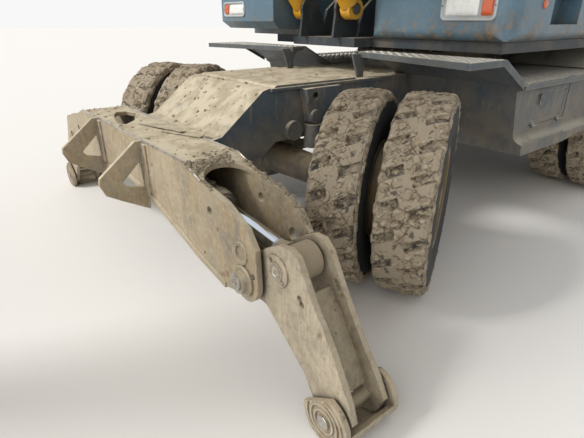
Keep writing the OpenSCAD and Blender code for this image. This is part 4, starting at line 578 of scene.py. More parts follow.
def addPiece(name, body, parts, material, smooth=False, bevel=0.0, stands=()):
    points, faces = [], []
    for some, more in parts:
        start = len(points)
        points += [tuple(p) for p in some]
        faces += [tuple(start + k for k in face) for face in more]
    mesh = bpy.data.meshes.new(name)
    mesh.from_pydata(points, [], faces)
    work = bmesh.new()
    work.from_mesh(mesh)
    bmesh.ops.recalc_face_normals(work, faces=work.faces)
    if bevel:
        sharp = [e for e in work.edges if len(e.link_faces) == 2 and e.calc_face_angle(0) > 0.6]
        bmesh.ops.bevel(work, geom=sharp, offset=bevel, segments=2, profile=0.6, affect="EDGES")
    work.to_mesh(mesh)
    work.free()
    mesh.materials.append(material)
    for face in mesh.polygons:
        face.use_smooth = smooth
    piece = bpy.data.objects.new(name, mesh)
    bpy.context.scene.collection.objects.link(piece)
    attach(piece, body)
    if stands:
        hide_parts(*stands)
    return piece


def smoothStep(value, low, high):
    t = min(1.0, max(0.0, (value - low) / (high - low)))
    return t * t * (3 - 2 * t)


def surfaceOf(names):
    points, faces = [], []
    for name in names:
        mesh = nodes[name].data
        start = len(points)
        points += [v.co.copy() for v in mesh.vertices]
        faces += [tuple(start + k for k in p.vertices) for p in mesh.polygons]
    return BVHTree.FromPolygons(points, faces)


# clay crust over each tread: it sits on the lugs, thins in the grooves and cracks into cakes
crustLook = {
    "around": 420, "aroundHidden": 300, "lugs": 22, "lugAngle": 24, "grooveHalf": 0.026, "ribHalf": 0.022,
    "crownRadius": 0.525,
    "grooveFill": 0.021, "patchHeight": 0.012, "patchSize": 9.0, "cakeSize": 15.0, "crackDepth": 0.006,
    "flatHalf": 13,
    "standsProud": 0.0038,
}
crustSection = [
    (-0.1180, 0.470), (-0.1230, 0.480), (-0.1248, 0.488), (-0.1232, 0.497), (-0.1195, 0.507),
    (-0.113, 0.5165),
    (-0.105, 0.523), (-0.095, 0.525), (-0.085, 0.525), (-0.075, 0.525), (-0.065, 0.525), (-0.055, 0.525),
    (-0.045, 0.525), (-0.035, 0.525), (-0.0265, 0.525), (-0.018, 0.525), (-0.009, 0.525), (0.0, 0.525),
]
crustSection += [(-y, r) for y, r in crustSection[-2::-1]]


def mudCrust(name, body, centre, turn, offset, around, look):
    rows = len(crustSection)
    spin = Matrix.Rotation(turn, 4, "Z")
    seed = Vector((centre[0] * 3.1 + offset * 7, centre[1] * 5.3, 1.7))
    points, faces = [], []
    pitch = 2 * math.pi / look["lugs"]
    for i in range(around):
        psi = 2 * math.pi * i / around
        for y, r in crustSection:
            shift = 0.5 if y > 0 else 0.0
            run = psi - y * math.tan(math.radians(look["lugAngle"])) / look["crownRadius"] + shift * pitch
            gap = abs((run + pitch / 2) % pitch - pitch / 2) * look["crownRadius"]
            spot = Vector((math.cos(psi) * r, y, math.sin(psi) * r))
            big = noise.fractal(spot * look["patchSize"] + seed, 0.9, 2.1, 5)
            fine = noise.fractal(spot * 34 + seed, 0.6, 2.3, 5)
            wander = 0.006 * noise.noise(spot * 28 + seed)
            lug = max(smoothStep(gap + wander, look["grooveHalf"] - 0.004, look["grooveHalf"] + 0.004),
                      1 - smoothStep(abs(y) + wander, look["ribHalf"], look["ribHalf"] + 0.008))
            near, far = noise.voronoi(spot * look["cakeSize"] + seed)[0][:2]
            crack = 1 - smoothStep(far - near, 0.0, 0.16)
            lift = look["patchHeight"] * (0.8 * big + 0.45 * fine) + look["standsProud"]
            lift -= crack * look["crackDepth"] * (0.4 + lug)
            lift -= (1 - lug) * (look["grooveFill"] - 0.009 * fine)
            shoulder = smoothStep(r + 0.012 * big, 0.492, 0.514)
            lift = lift * (0.2 + 0.8 * shoulder) - (1 - shoulder) * 0.006
            slope = smoothStep(abs(y), 0.098, 0.128)
            newR = r + lift * (1 - 0.75 * slope)
            newY = y + math.copysign(lift * slope * 0.8, y)
            low = abs((math.degrees(psi) - 270 + 180) % 360 - 180)
            if low < look["flatHalf"]:
                newR = min(newR, look["crownRadius"] / max(0.9, math.cos(math.radians(low))) - 0.0005)
            points.append(spin @ Vector((math.cos(psi) * newR, newY + offset,
                                         math.sin(psi) * newR)) + Vector(centre))
    for i in range(around):
        for j in range(rows):
            n, m = (i + 1) % around, (j + 1) % rows
            faces.append((i * rows + j, i * rows + m, n * rows + m, n * rows + j))
    addPiece(name, body, [(points, faces)], sunlitTreadMud, smooth=True)


for corner, (centre, turn, side) in wheelPlaces.items():
    for tyre, offset in (("inner", 0.0), ("outer", 0.33 * side)):
        around = crustLook["around" if corner == "front_left" else "aroundHidden"]
        mudCrust("clay_crust_" + corner + "_" + tyre, "wheels_" + corner, centre, turn, offset, around,
                 crustLook)
print("stage: clay on the tyres")


# crumbs and clods of dried clay where they have dropped on the plates: area, count, size in m, seed
clodLook = {
    "beam": [
        ("outrigger_beam", (2.50, 2.72, 0.775, 0.86), 150, (0.004, 0.016), 3),
        ("outrigger_beam", (2.66, 2.72, 0.84, 1.02), 60, (0.004, 0.011), 4),
        ("outrigger_beam", (2.44, 2.60, 0.70, 0.80), 60, (0.003, 0.010), 6),
        ("outrigger_beam", (2.437, 2.458, 0.84, 1.32), 170, (0.004, 0.013), 5),
        ("outrigger_beam", (2.44, 2.72, -0.75, 0.75), 70, (0.003, 0.010), 8),
        ("outrigger_beam", (2.44, 2.73, -0.94, -0.70), 30, (0.004, 0.012), 9),
        ("chassis_frame", (2.05, 2.43, -0.43, 0.43), 60, (0.003, 0.011), 12),
        ("chassis_frame", (0.85, 2.05, -0.43, 0.43), 60, (0.003, 0.013), 14),
        ("fenders", (1.09, 1.40, 0.40, 1.27), 26, (0.002, 0.006), 15),
        ("toolboxes", (-0.4, 0.75, 0.80, 1.24), 40, (0.002, 0.007), 16),
    ],
    "leg": [("leg_left", (2.47, 2.70, 1.40, 1.60), 18, (0.003, 0.008), 21),
            ("foot_left", (2.45, 2.72, 1.60, 1.85), 24, (0.003, 0.008), 22)],
}


def clod(spot, normal, size, draw):
    turnBy = normal.to_track_quat("Z", "Y") @ Matrix.Rotation(draw.uniform(0, 6.3), 3, "Z").to_quaternion()
    stretch = Vector((draw.uniform(0.8, 1.5), draw.uniform(0.7, 1.1), draw.uniform(0.45, 0.8)))
    blob = bmesh.new()
    bmesh.ops.create_icosphere(blob, subdivisions=2, radius=1.0)
    seed = Vector((draw.uniform(0, 50), draw.uniform(0, 50), 0))
    points = []
    for vert in blob.verts:
        lump = 1 + 0.35 * noise.noise(vert.co * 1.3 + seed) + 0.2 * noise.noise(vert.co * 3.7 + seed)
        points.append(spot + turnBy @ (Vector(a * b * lump * size for a,
                                              b in zip(vert.co, stretch)) + Vector((0, 0, 0.2 * size))))
    faces = [tuple(v.index for v in face.verts) for face in blob.faces]
    blob.free()
    return points, faces


def scatterClods(name, body, rows):
    parts = []
    for node, (x0, x1, y0, y1), count, (small, large), seed in rows:
        draw = random.Random(seed)
        ground = surfaceOf([node])
        for _ in range(count):
            spot, normal, _, _ = ground.ray_cast(Vector((draw.uniform(x0, x1), draw.uniform(y0, y1), 1.3)),
                                                 Vector((0, 0, -1)))
            size = small + (large - small) * draw.random() ** 3
            if spot is not None and normal.z > 0.3:
                parts.append(clod(spot, normal, size, draw))
    addPiece(name, body, parts, plateMud, smooth=True)


scatterClods("clay_clods_on_chassis", "chassis", clodLook["beam"])
scatterClods("clay_clods_on_leg_left", "leg_left", clodLook["leg"][:1])
scatterClods("clay_clods_on_foot_left", "foot_left", clodLook["leg"][1:])
print("stage: clods")


# outrigger beam: welded seams, worn hinge pin ends, the deck's raised lip and its loose patch plates
beamLook = {
    "front": 2.720, "rear": 2.435, "top": 0.815, "seam": 0.0045, "pinY": 1.240, "pinZ": 0.447,
    "bracketY": (0.280, -0.460), "slope": [(0.78, 0.815), (0.925, 0.770), (1.128, 0.740), (1.270, 0.678),
                                           (1.324, 0.608)],
}


def patchPlate(corners, lifts, thick, seed):
    # bent cover plate given by four corners and how far each is lifted off the deck
    rows, columns = 10, 16
    points, faces = [], []
    for side in (0, 1):
        for i in range(rows):
            for j in range(columns):
                u, v = i / (rows - 1), j / (columns - 1)
                spots = [Vector(c) for c in corners]
                spot = spots[0].lerp(spots[1], v).lerp(spots[3].lerp(spots[2], v), u)
                lift = (lifts[0] * (1 - v) + lifts[1] * v) * (1 - u) ** 2
                lift += (lifts[3] * (1 - v) + lifts[2] * v) * u ** 2
                edge = min(u, 1 - u, v, 1 - v)
                ragged = 0.012 * noise.noise(Vector((u * 9 + seed, v * 9, 1))) * (edge < 0.01)
                lift += 0.0015 * noise.noise(Vector((u * 4 + seed, v * 6, 3)))
                points.append(spot + Vector((ragged, -ragged, lift + 0.002 + side * thick)))
    def at(side, i, j):
        return (side * rows + i) * columns + j
    for i in range(rows - 1):
        for j in range(columns - 1):
            faces.append((at(1, i, j), at(1, i, j + 1), at(1, i + 1, j + 1), at(1, i + 1, j)))
            faces.append((at(0, i, j), at(0, i + 1, j), at(0, i + 1, j + 1), at(0, i, j + 1)))
    border = [(0, j) for j in range(columns)] + [(i, columns - 1) for i in range(1, rows)]
    border += [(rows - 1, j) for j in range(columns - 2, -1, -1)] + [(i, 0) for i in range(rows - 2, 0, -1)]
    for (i, j), (k, m) in zip(border, border[1:] + border[:1]):
        faces.append((at(0, i, j), at(0, k, m), at(1, k, m), at(1, i, j)))
    return points, faces


def beamDetails(look):
    seams, lips, pins, bolts = [], [], [], []
    front, top = look["front"], look["top"]
    for y in look["bracketY"]:
        for edge in (-0.014, 0.014):
            line = filled([(front + 0.001, y + edge, top - 0.37), (front + 0.001, y + edge, top - 0.004)],
                          0.012)
            seams.append(sweep(line, look["seam"], 6, wobble=0.25, seed=int(y * 100 + edge * 1000) + 60))
    for side in (1, -1):
        rise = [(y * side, z) for y, z in look["slope"]]
        for x in (front - 0.004, look["rear"] + 0.004):
            line = filled([(x, 0.0, top + 0.001)] + [(x, y, z + 0.001) for y, z in rise[:2]], 0.015)
            lips.append(sweep(line, 0.0055, 6, wobble=0.3, seed=side + int(x * 10)))
        eye = Vector((0, look["pinY"] * side, look["pinZ"]))
        face = eye + Vector((front + 0.036, 0, 0))
        pins.append(lathe([(0.0445, -0.003), (0.0445, 0.0008), (0.0425, 0.0018), (0.0315, 0.0018)], 40, face,
                          (1, 0, 0), hollow=True))
        pins.append(lathe([(0.0305, 0.0), (0.0305, 0.0068), (0.028, 0.0082), (0.012, 0.0082), (0.010, 0.0070),
                           (0.0006, 0.0070)], 40, face, (1, 0, 0)))
        pins.append(lathe([(0.006, 0.006), (0.006, 0.0105), (0.003, 0.0145), (0.0006, 0.0148)], 12, face,
                          (1, 0, 0)))
        ring = eye + Vector((front + 0.0142, 0, 0))
        seams.append(lathe([(0.064, -0.001), (0.0655, -0.011), (0.0605, -0.0145), (0.0605, -0.001)], 40, ring,
                           (1, 0, 0), hollow=True))
        for x, axis in ((front + 0.002, 1), (look["rear"] - 0.002, -1)):
            for angle in (0.6, 3.7):
                spot = Vector((x, look["pinY"] * side + 0.079 * math.cos(angle),
                               look["pinZ"] + 0.079 * math.sin(angle)))
                bolts += bolt(spot, (axis, 0, 0), 0.009)
    addPiece("beam_weld_seams", "chassis", seams, beamPaint, smooth=True)
    addPiece("beam_top_lip", "chassis", lips, pinSteel, smooth=True)
    addPiece("hinge_pin_ends", "chassis", pins, pinSteel)
    addPiece("hinge_boss_bolts", "chassis", bolts, boltSteel)
    patches = [
        patchPlate([(2.585, -0.10, top), (2.50, 0.30, top), (2.36, 0.26, 0.808), (2.45, -0.14, top)],
                   (0.0, 0.012, 0.0, 0.0), 0.005, 4),
        patchPlate([(2.56, 0.17, top), (2.46, 0.44, top), (2.40, 0.40, top), (2.47, 0.13, top)],
                   (0.0, 0.002, 0.016, 0.0), 0.004, 9),
    ]
    addPiece("loose_patch_plates", "chassis", patches, beamPaint)


beamDetails(beamLook)


# outrigger legs: bolted keepers on the eye pins, foot pin ends, oil gland and its screws
legLook = {"eyeY": 1.406, "eyeZ": 0.552, "footY": 1.714, "footZ": 0.095, "baseY": 0.100, "baseZ": 0.660,
           "middle": 2.5775}


def legDetails(side, look):
    word = "left" if side > 0 else "right"
    bolts, pins, gland = [], [], []
    for x, axis in ((look["middle"] + 0.1065, 1), (look["middle"] - 0.1065, -1)):
        for angle in (2.35, -0.75):
            spot = Vector((x, side * (look["eyeY"] + 0.050 * math.cos(angle)),
                           look["eyeZ"] + 0.050 * math.sin(angle)))
            bolts += bolt(spot, (axis, 0, 0), 0.0085, 0.0042)
        centre = Vector((x + axis * 0.005, side * look["eyeY"], look["eyeZ"]))
        pins.append(lathe([(0.030, -0.002), (0.030, 0.0012), (0.022, 0.0012), (0.0205, -0.0005)], 36, centre,
                          (axis, 0, 0), hollow=True))
        pins.append(lathe([(0.006, -0.001), (0.006, 0.0018), (0.003, 0.0026), (0.0006, 0.0026)], 12, centre,
                          (axis, 0, 0)))
        foot = Vector((look["middle"] + axis * 0.1385, side * look["footY"], look["footZ"]))
        pins.append(lathe([(0.027, -0.003), (0.027, 0.005), (0.0245, 0.007), (0.010, 0.0075), (0.009, 0.0055),
                           (0.0006, 0.0055)], 36, foot, (axis, 0, 0)))
    addPiece("eye_pin_bolts_" + word, "leg_" + word, bolts, boltSteel)
    addPiece("leg_pin_ends_" + word, "leg_" + word, pins, pinSteel)
    base = Vector((look["middle"], side * look["baseY"], look["baseZ"]))
    along = (Vector((look["middle"], side * look["eyeY"], look["eyeZ"])) - base).normalized()
    end = base + along * 0.760
    gland.append(lathe([(0.0392, -0.02), (0.0392, 0.012), (0.052, 0.012), (0.0585, 0.006), (0.0585, -0.02)],
                       40, end, along, hollow=True))
    side1 = along.cross(Vector((1, 0, 0))).normalized()
    for k in range(8):
        angle = 2 * math.pi * k / 8 + 0.2
        out = Vector((1, 0, 0)) * math.cos(angle) + side1 * math.sin(angle)
        gland.append(lathe([(0.0075, 0.0), (0.0075, 0.022), (0.0062, 0.0235), (0.004, 0.0235),
                            (0.0038, 0.018), (0.0006, 0.018)], 12,
                           end + out * 0.0635 - along * 0.022, along))
    gland.append(lathe([(0.0755, -0.012), (0.0755, 0.0), (0.0735, 0.002), (0.0735, -0.014)], 40,
                       end - along * 0.055, along, hollow=True))
    addPiece("oil_gland_" + word, "leg_barrel_" + word, gland, castIron)


for side in (1, -1):
    legDetails(side, legLook)
print("stage: outrigger details")


# checker plate on the fenders and the boxes: raised lozenges 27 x 8 mm in turned pairs 32 mm apart
checkerLook = {"pitch": 0.032, "long": 0.0135, "wide": 0.0042, "high": 0.0018, "sunk": 0.0006}
checkerAreas = [
    ("fenders", (1.10, 1.41), (0.38, 1.285), 1.24), ("fenders", (1.10, 1.41), (-1.285, -0.38), 1.24),
    ("fenders", (0.83, 1.07), (0.40, 1.285), 1.24), ("fenders", (0.83, 1.07), (-1.285, -0.40), 1.24),
    ("fenders", (-1.39, -0.71), (0.40, 1.285), 1.24), ("fenders", (-1.39, -0.71), (-1.285, -0.40), 1.24),
    ("toolboxes", (-0.44, 0.79), (0.76, 1.30), 1.10), ("toolboxes", (-0.44, 0.79), (-1.30, -0.76), 1.10),
]


def checkerPlate(look):
    parts = []
    for node, (x0, x1), (y0, y1), above in checkerAreas:
        ground = surfaceOf([node])
        across, along = int((x1 - x0) / look["pitch"]), int((y1 - y0) / look["pitch"])
        for i in range(across + 1):
            for j in range(along + 1):
                x, y = x0 + i * look["pitch"], y0 + j * look["pitch"]
                way = Vector((1, 0, 0)) if (i + j) % 2 else Vector((0, 1, 0))
                ends = [Vector((x, y, above)) + way * (look["long"] * s) for s in (-1.05, 0, 1.05)]
                hits = [ground.ray_cast(spot, Vector((0, 0, -1))) for spot in ends]
                if any(h[0] is None or h[1].z < 0.6 or h[3] > 0.6 for h in hits):
                    continue
                normal = hits[1][1]
                if (hits[0][0] - hits[2][0]).dot(normal) ** 2 > 1e-6 or hits[1][0].z < above - 0.25:
                    continue
                way = (way - normal * way.dot(normal)).normalized()
                cross = normal.cross(way)
                rim = [(-1, 0), (-0.45, 0.8), (0.45, 0.8), (1, 0), (0.45, -0.8), (-0.45, -0.8)]
                spot, length, width = hits[1][0], way * look["long"], cross * look["wide"]
                points = [spot + length * a + width * b - normal * look["sunk"] for a, b in rim]
                points += [spot + length * a * 0.68 + width * b * 0.55 + normal * look["high"] for a,
                           b in rim]
                faces = [tuple(range(5, -1, -1)), tuple(range(6, 12))]
                faces += [(k, (k + 1) % 6, 6 + (k + 1) % 6, 6 + k) for k in range(6)]
                parts.append((points, faces))
    return parts


addPiece("checker_plate_lozenges", "chassis", checkerPlate(checkerLook), sunlitTreadSteel)
print("stage: checker plate")


# lamps let into the cab's foot and the right corner: bezel, back tray, ribbed lens, indicator beside it
lampLook = {
    "left": {"face": 1.010, "y": (0.812, 1.152), "z": (1.380, 1.530), "split": 1.055, "depth": 0.0135},
    "right": {"face": 1.300, "y": (-1.204, -0.882), "z": (1.406, 1.514), "split": -1.125, "depth": 0.0135},
    "ribs": 0.0075,
}


def roundedFrame(y0, y1, z0, z1, radius, steps=5):
    out = []
    for cy, cz, start in ((y1 - radius, z1 - radius, 0), (y0 + radius, z1 - radius, 1),
                          (y0 + radius, z0 + radius, 2), (y1 - radius, z0 + radius, 3)):
        for k in range(steps + 1):
            angle = math.pi / 2 * (start + k / steps)
            out.append((cy + radius * math.cos(angle), cz + radius * math.sin(angle)))
    return out


def ringed(levels):
    # stacked closed outlines of equal count, (y, z) lists at given x, open in the middle
    count = len(levels[0][1])
    points = [Vector((x, y, z)) for x, line in levels for y, z in line]
    faces = [(i * count + k, i * count + (k + 1) % count, (i + 1) * count + (k + 1) % count,
              (i + 1) * count + k)
             for i in range(len(levels) - 1) for k in range(count)]
    return points, faces


def lensBlock(x, y0, y1, z0, z1, ribs, dome, thick):
    columns, rows = max(8, int((y1 - y0) / ribs) * 4), 14
    points, faces = [], []
    for i in range(rows + 1):
        for j in range(columns + 1):
            u, v = j / columns * 2 - 1, i / rows * 2 - 1
            round_ = (1 - abs(u) ** 6) * (1 - abs(v) ** 6)
            rib = 0.0011 * math.cos(2 * math.pi * j / 4) * (abs(u) < 0.96)
            points.append(Vector((x + thick * 0.3 + (dome + rib) * round_ + thick * 0.7 * round_ ** 0.4,
                                  y0 + (y1 - y0) * j / columns, z0 + (z1 - z0) * i / rows)))
    front = len(points)
    points += [Vector((x, p.y, p.z)) for p in points]
    wide = columns + 1
    for i in range(rows):
        for j in range(columns):
            a = i * wide + j
            faces += [(a, a + 1, a + wide + 1, a + wide), (front + a, front + a + wide, front + a + wide + 1,
                                                           front + a + 1)]
    edge = [(0, j) for j in range(wide)] + [(i, columns) for i in range(1, rows + 1)]
    edge += [(rows, j) for j in range(columns - 1, -1, -1)] + [(i, 0) for i in range(rows - 1, 0, -1)]
    for (i, j), (k, m) in zip(edge, edge[1:] + edge[:1]):
        a, b = i * wide + j, k * wide + m
        faces.append((a, front + a, front + b, b))
    return points, faces


def lampUnit(word, body, look, ribs):
    x, (y0, y1), (z0, z1), split, deep = look["face"], look["y"], look["z"], look["split"], look["depth"]
    rim = [
        (x - deep, roundedFrame(y0 + 0.012, y1 - 0.012, z0 + 0.012, z1 - 0.012, 0.022)),
        (x + 0.003, roundedFrame(y0 + 0.010, y1 - 0.010, z0 + 0.010, z1 - 0.010, 0.022)),
        (x + 0.009, roundedFrame(y0 + 0.006, y1 - 0.006, z0 + 0.006, z1 - 0.006, 0.024)),
        (x + 0.008, roundedFrame(y0 - 0.002, y1 + 0.002, z0 - 0.002, z1 + 0.002, 0.028)),
        (x - 0.002, roundedFrame(y0 - 0.006, y1 + 0.006, z0 - 0.006, z1 + 0.006, 0.030)),
    ]
    points, faces = ringed(rim)
    faces.append(tuple(range(len(rim[0][1]))))
    count = len(rim[0][1])
    faces.append(tuple(4 * count + k for k in range(count - 1, -1, -1)))
    addPiece("lamp_bezel_" + word, body, [(points, faces)], bezelPale, smooth=True,
             stands=("headlamps",))
    tray = roundedFrame(y0 + 0.0115, y1 - 0.0115, z0 + 0.0115, z1 - 0.0115, 0.022)
    plate = ringed([(x - deep + 0.0005, tray), (x - deep + 0.003, tray)])
    plate[1].extend([tuple(range(len(tray) - 1, -1, -1)), tuple(len(tray) + k for k in range(len(tray)))])
    addPiece("lamp_tray_" + word, body, [plate], trimBlack, stands=("headlamps",))
    lens = lensBlock(x - deep + 0.001, y0 + 0.018, split - 0.006, z0 + 0.018, z1 - 0.018, ribs, 0.010, 0.012)
    blink = lensBlock(x - deep + 0.001, split + 0.006, y1 - 0.018, z0 + 0.018, z1 - 0.018, ribs, 0.009, 0.012)
    if word == "right":
        lens = lensBlock(x - deep + 0.001, split + 0.006, y1 - 0.014, z0 + 0.014, z1 - 0.014, ribs, 0.010,
                         0.012)
        blink = lensBlock(x - deep + 0.001, y0 + 0.014, split - 0.006, z0 + 0.014, z1 - 0.014, ribs, 0.009,
                          0.012)
    addPiece("lamp_lens_" + word, body, [lens], clearLens, smooth=True, stands=("headlamps",))
    addPiece("indicator_lens_" + word, body, [blink], amberLens, smooth=True, stands=("headlamps",))
    screws = []
    for y in (y0 + 0.005, y1 - 0.005):
        screws.append(lathe([(0.005, 0.0), (0.005, 0.0102), (0.0035, 0.0115), (0.0006, 0.0117)], 12,
                            (x, y, (z0 + z1) / 2), (1, 0, 0)))
    addPiece("lamp_screws_" + word, body, screws, boltSteel, stands=("headlamps",))


def workLamp(y0, y1, x, z0, z1):
    cy, cz = (y0 + y1) / 2, (z0 + z1) / 2
    housing = [(0.020, 0.0), (0.032, 0.004), (0.0385, 0.016), (0.040, 0.040), (0.0395, 0.052),
               (0.036, 0.0555), (0.0345, 0.050)]
    glass = [(0.0355, 0.046), (0.0355, 0.0505), (0.028, 0.0555), (0.014, 0.0585), (0.0006, 0.0595)]
    foot = slab([(-0.012, -0.045), (0.012, -0.045), (0.012, 0.0), (-0.012, 0.0)], (x + 0.022, cy, cz),
                (1, 0, 0), (0, 0, 1), -0.004, 0.004)
    return [lathe(housing, 28, (x, cy, cz), (1, 0, 0), hollow=False), foot], [lathe(glass, 28, (x, cy, cz),
        (1, 0, 0))]


lampUnit("left", "upper", lampLook["left"], lampLook["ribs"])
lampUnit("right", "upper", lampLook["right"], lampLook["ribs"])
housings, glasses = [], []
for y0, y1 in ((0.375, 0.485), (1.030, 1.140)):
    some, more = workLamp(y0, y1, 0.790, 3.178, 3.258)
    housings += some
    glasses += more
addPiece("roof_lamp_housings", "upper", housings, trimBlack, smooth=True, stands=("headlamps",))
addPiece("roof_lamp_lenses", "upper", glasses, clearLens, smooth=True, stands=("headlamps",))
marker = lathe([(0.024, -0.002), (0.0245, 0.004), (0.021, 0.0095), (0.012, 0.0118), (0.0006, 0.0125)], 28,
               (0.677, 1.2495, 1.462), (0, 1, 0))
addPiece("side_marker_lens", "upper", [marker], amberLens, smooth=True, stands=("headlamps",))
print("stage: lamps")


# rubber bead round every pane, found from the pane's own outline
sealLook = {"radius": 0.0075, "least": 0.03}


def paneRims(name):
    work = bmesh.new()
    work.from_mesh(nodes[name].data)
    bmesh.ops.dissolve_limit(work, angle_limit=0.05, verts=work.verts, edges=work.edges)
    rims = []
    for face in work.faces:
        loop = [vert.co.copy() for vert in face.verts]
        if face.calc_area() > sealLook["least"]:
            rims.append((loop, face.normal.copy(), face.calc_center_median()))
    work.free()
    return rims


def paneSeals(name, node, body, middle):
    parts = []
    for loop, normal, centre in paneRims(node):
        if normal.dot(centre - Vector(middle)) < 0:
            continue
        inward = [p + (centre - p).normalized() * 0.004 + normal * 0.001 for p in loop]
        parts.append(sweep(filled(inward + inward[:1], 0.05)[:-1], sealLook["radius"], 8, closed=True))
    if parts:
        addPiece(name, body, parts, rubberSeal, smooth=True)


paneSeals("cab_window_seals", "cab_glass", "upper", (0.1, 0.7575, 2.4))
paneSeals("door_window_seals", "door_glass", "cab_door", (0.1, 0.7575, 2.4))
print("stage: window seals")


# driver's seat, consoles and steering column
seatLook = {
    "floor": 1.780, "middle": 0.7575,
    "cushion": [(-0.190, 0.290), (0.300, 0.290), (0.345, 0.318), (0.350, 0.352), (0.320, 0.388),
                (-0.170, 0.372), (-0.192, 0.350)],
    "back": [(-0.205, 0.386), (-0.105, 0.390), (-0.128, 0.620), (-0.158, 0.892), (-0.210, 0.948),
             (-0.262, 0.900), (-0.236, 0.620)],
    "rest": [(-0.255, 0.968), (-0.200, 0.968), (-0.196, 1.090), (-0.252, 1.092)],
}


def cushionMesh(name, outline, halfWide, seams, crown):
    # pad lofted from its side outline, rounded by subdivision, crowned and pinched along its seams
    floor, middle = seatLook["floor"], seatLook["middle"]
    line = filled([Vector((x, 0, z)) for x, z in outline + outline[:1]], 0.03)[:-1]
    centre = sum(line, Vector()) / len(line)
    columns, count = 25, len(line)
    points, faces = [], []
    for i in range(columns):
        t = i / (columns - 1) * 2 - 1
        pull = 0.86 + 0.12 * (1 - abs(t) ** 5)
        for spot in line:
            bent = centre + (spot - centre) * pull
            points.append(Vector((bent.x, middle + t * halfWide, bent.z + floor)))
    for i in range(columns - 1):
        for k in range(count):
            n = (k + 1) % count
            faces.append((i * count + k, i * count + n, (i + 1) * count + n, (i + 1) * count + k))
    faces.append(tuple(range(count - 1, -1, -1)))
    faces.append(tuple((columns - 1) * count + k for k in range(count)))
    piece = addPiece(name, "upper", [(points, faces)], clothBlack, smooth=True,
                     stands=("seat_and_console",))
    rounded = piece.modifiers.new("rounded", "SUBSURF")
    rounded.levels = 2
    graph = bpy.context.evaluated_depsgraph_get()
    mesh = bpy.data.meshes.new_from_object(piece.evaluated_get(graph))
    piece.modifiers.clear()
    piece.data = mesh
    for vert in mesh.vertices:
        across = abs(vert.co.y - middle)
        swell = crown * max(0.0, 1 - (across / halfWide) ** 2)
        for where, deep, wide in seams:
            swell -= deep * math.exp(-((across - where * halfWide) / wide) ** 2)
        vert.co += vert.normal * swell
    mesh.update()


cushionMesh("seat_cushion", seatLook["cushion"], 0.240, [(0.62, 0.011, 0.008), (0.93, 0.004, 0.006)], 0.010)
cushionMesh("seat_back", seatLook["back"], 0.230, [(0.60, 0.011, 0.008), (0.93, 0.004, 0.006)], 0.009)
cushionMesh("seat_headrest", seatLook["rest"], 0.134, [(0.90, 0.004, 0.005)], 0.006)
print("stage: seat padded")


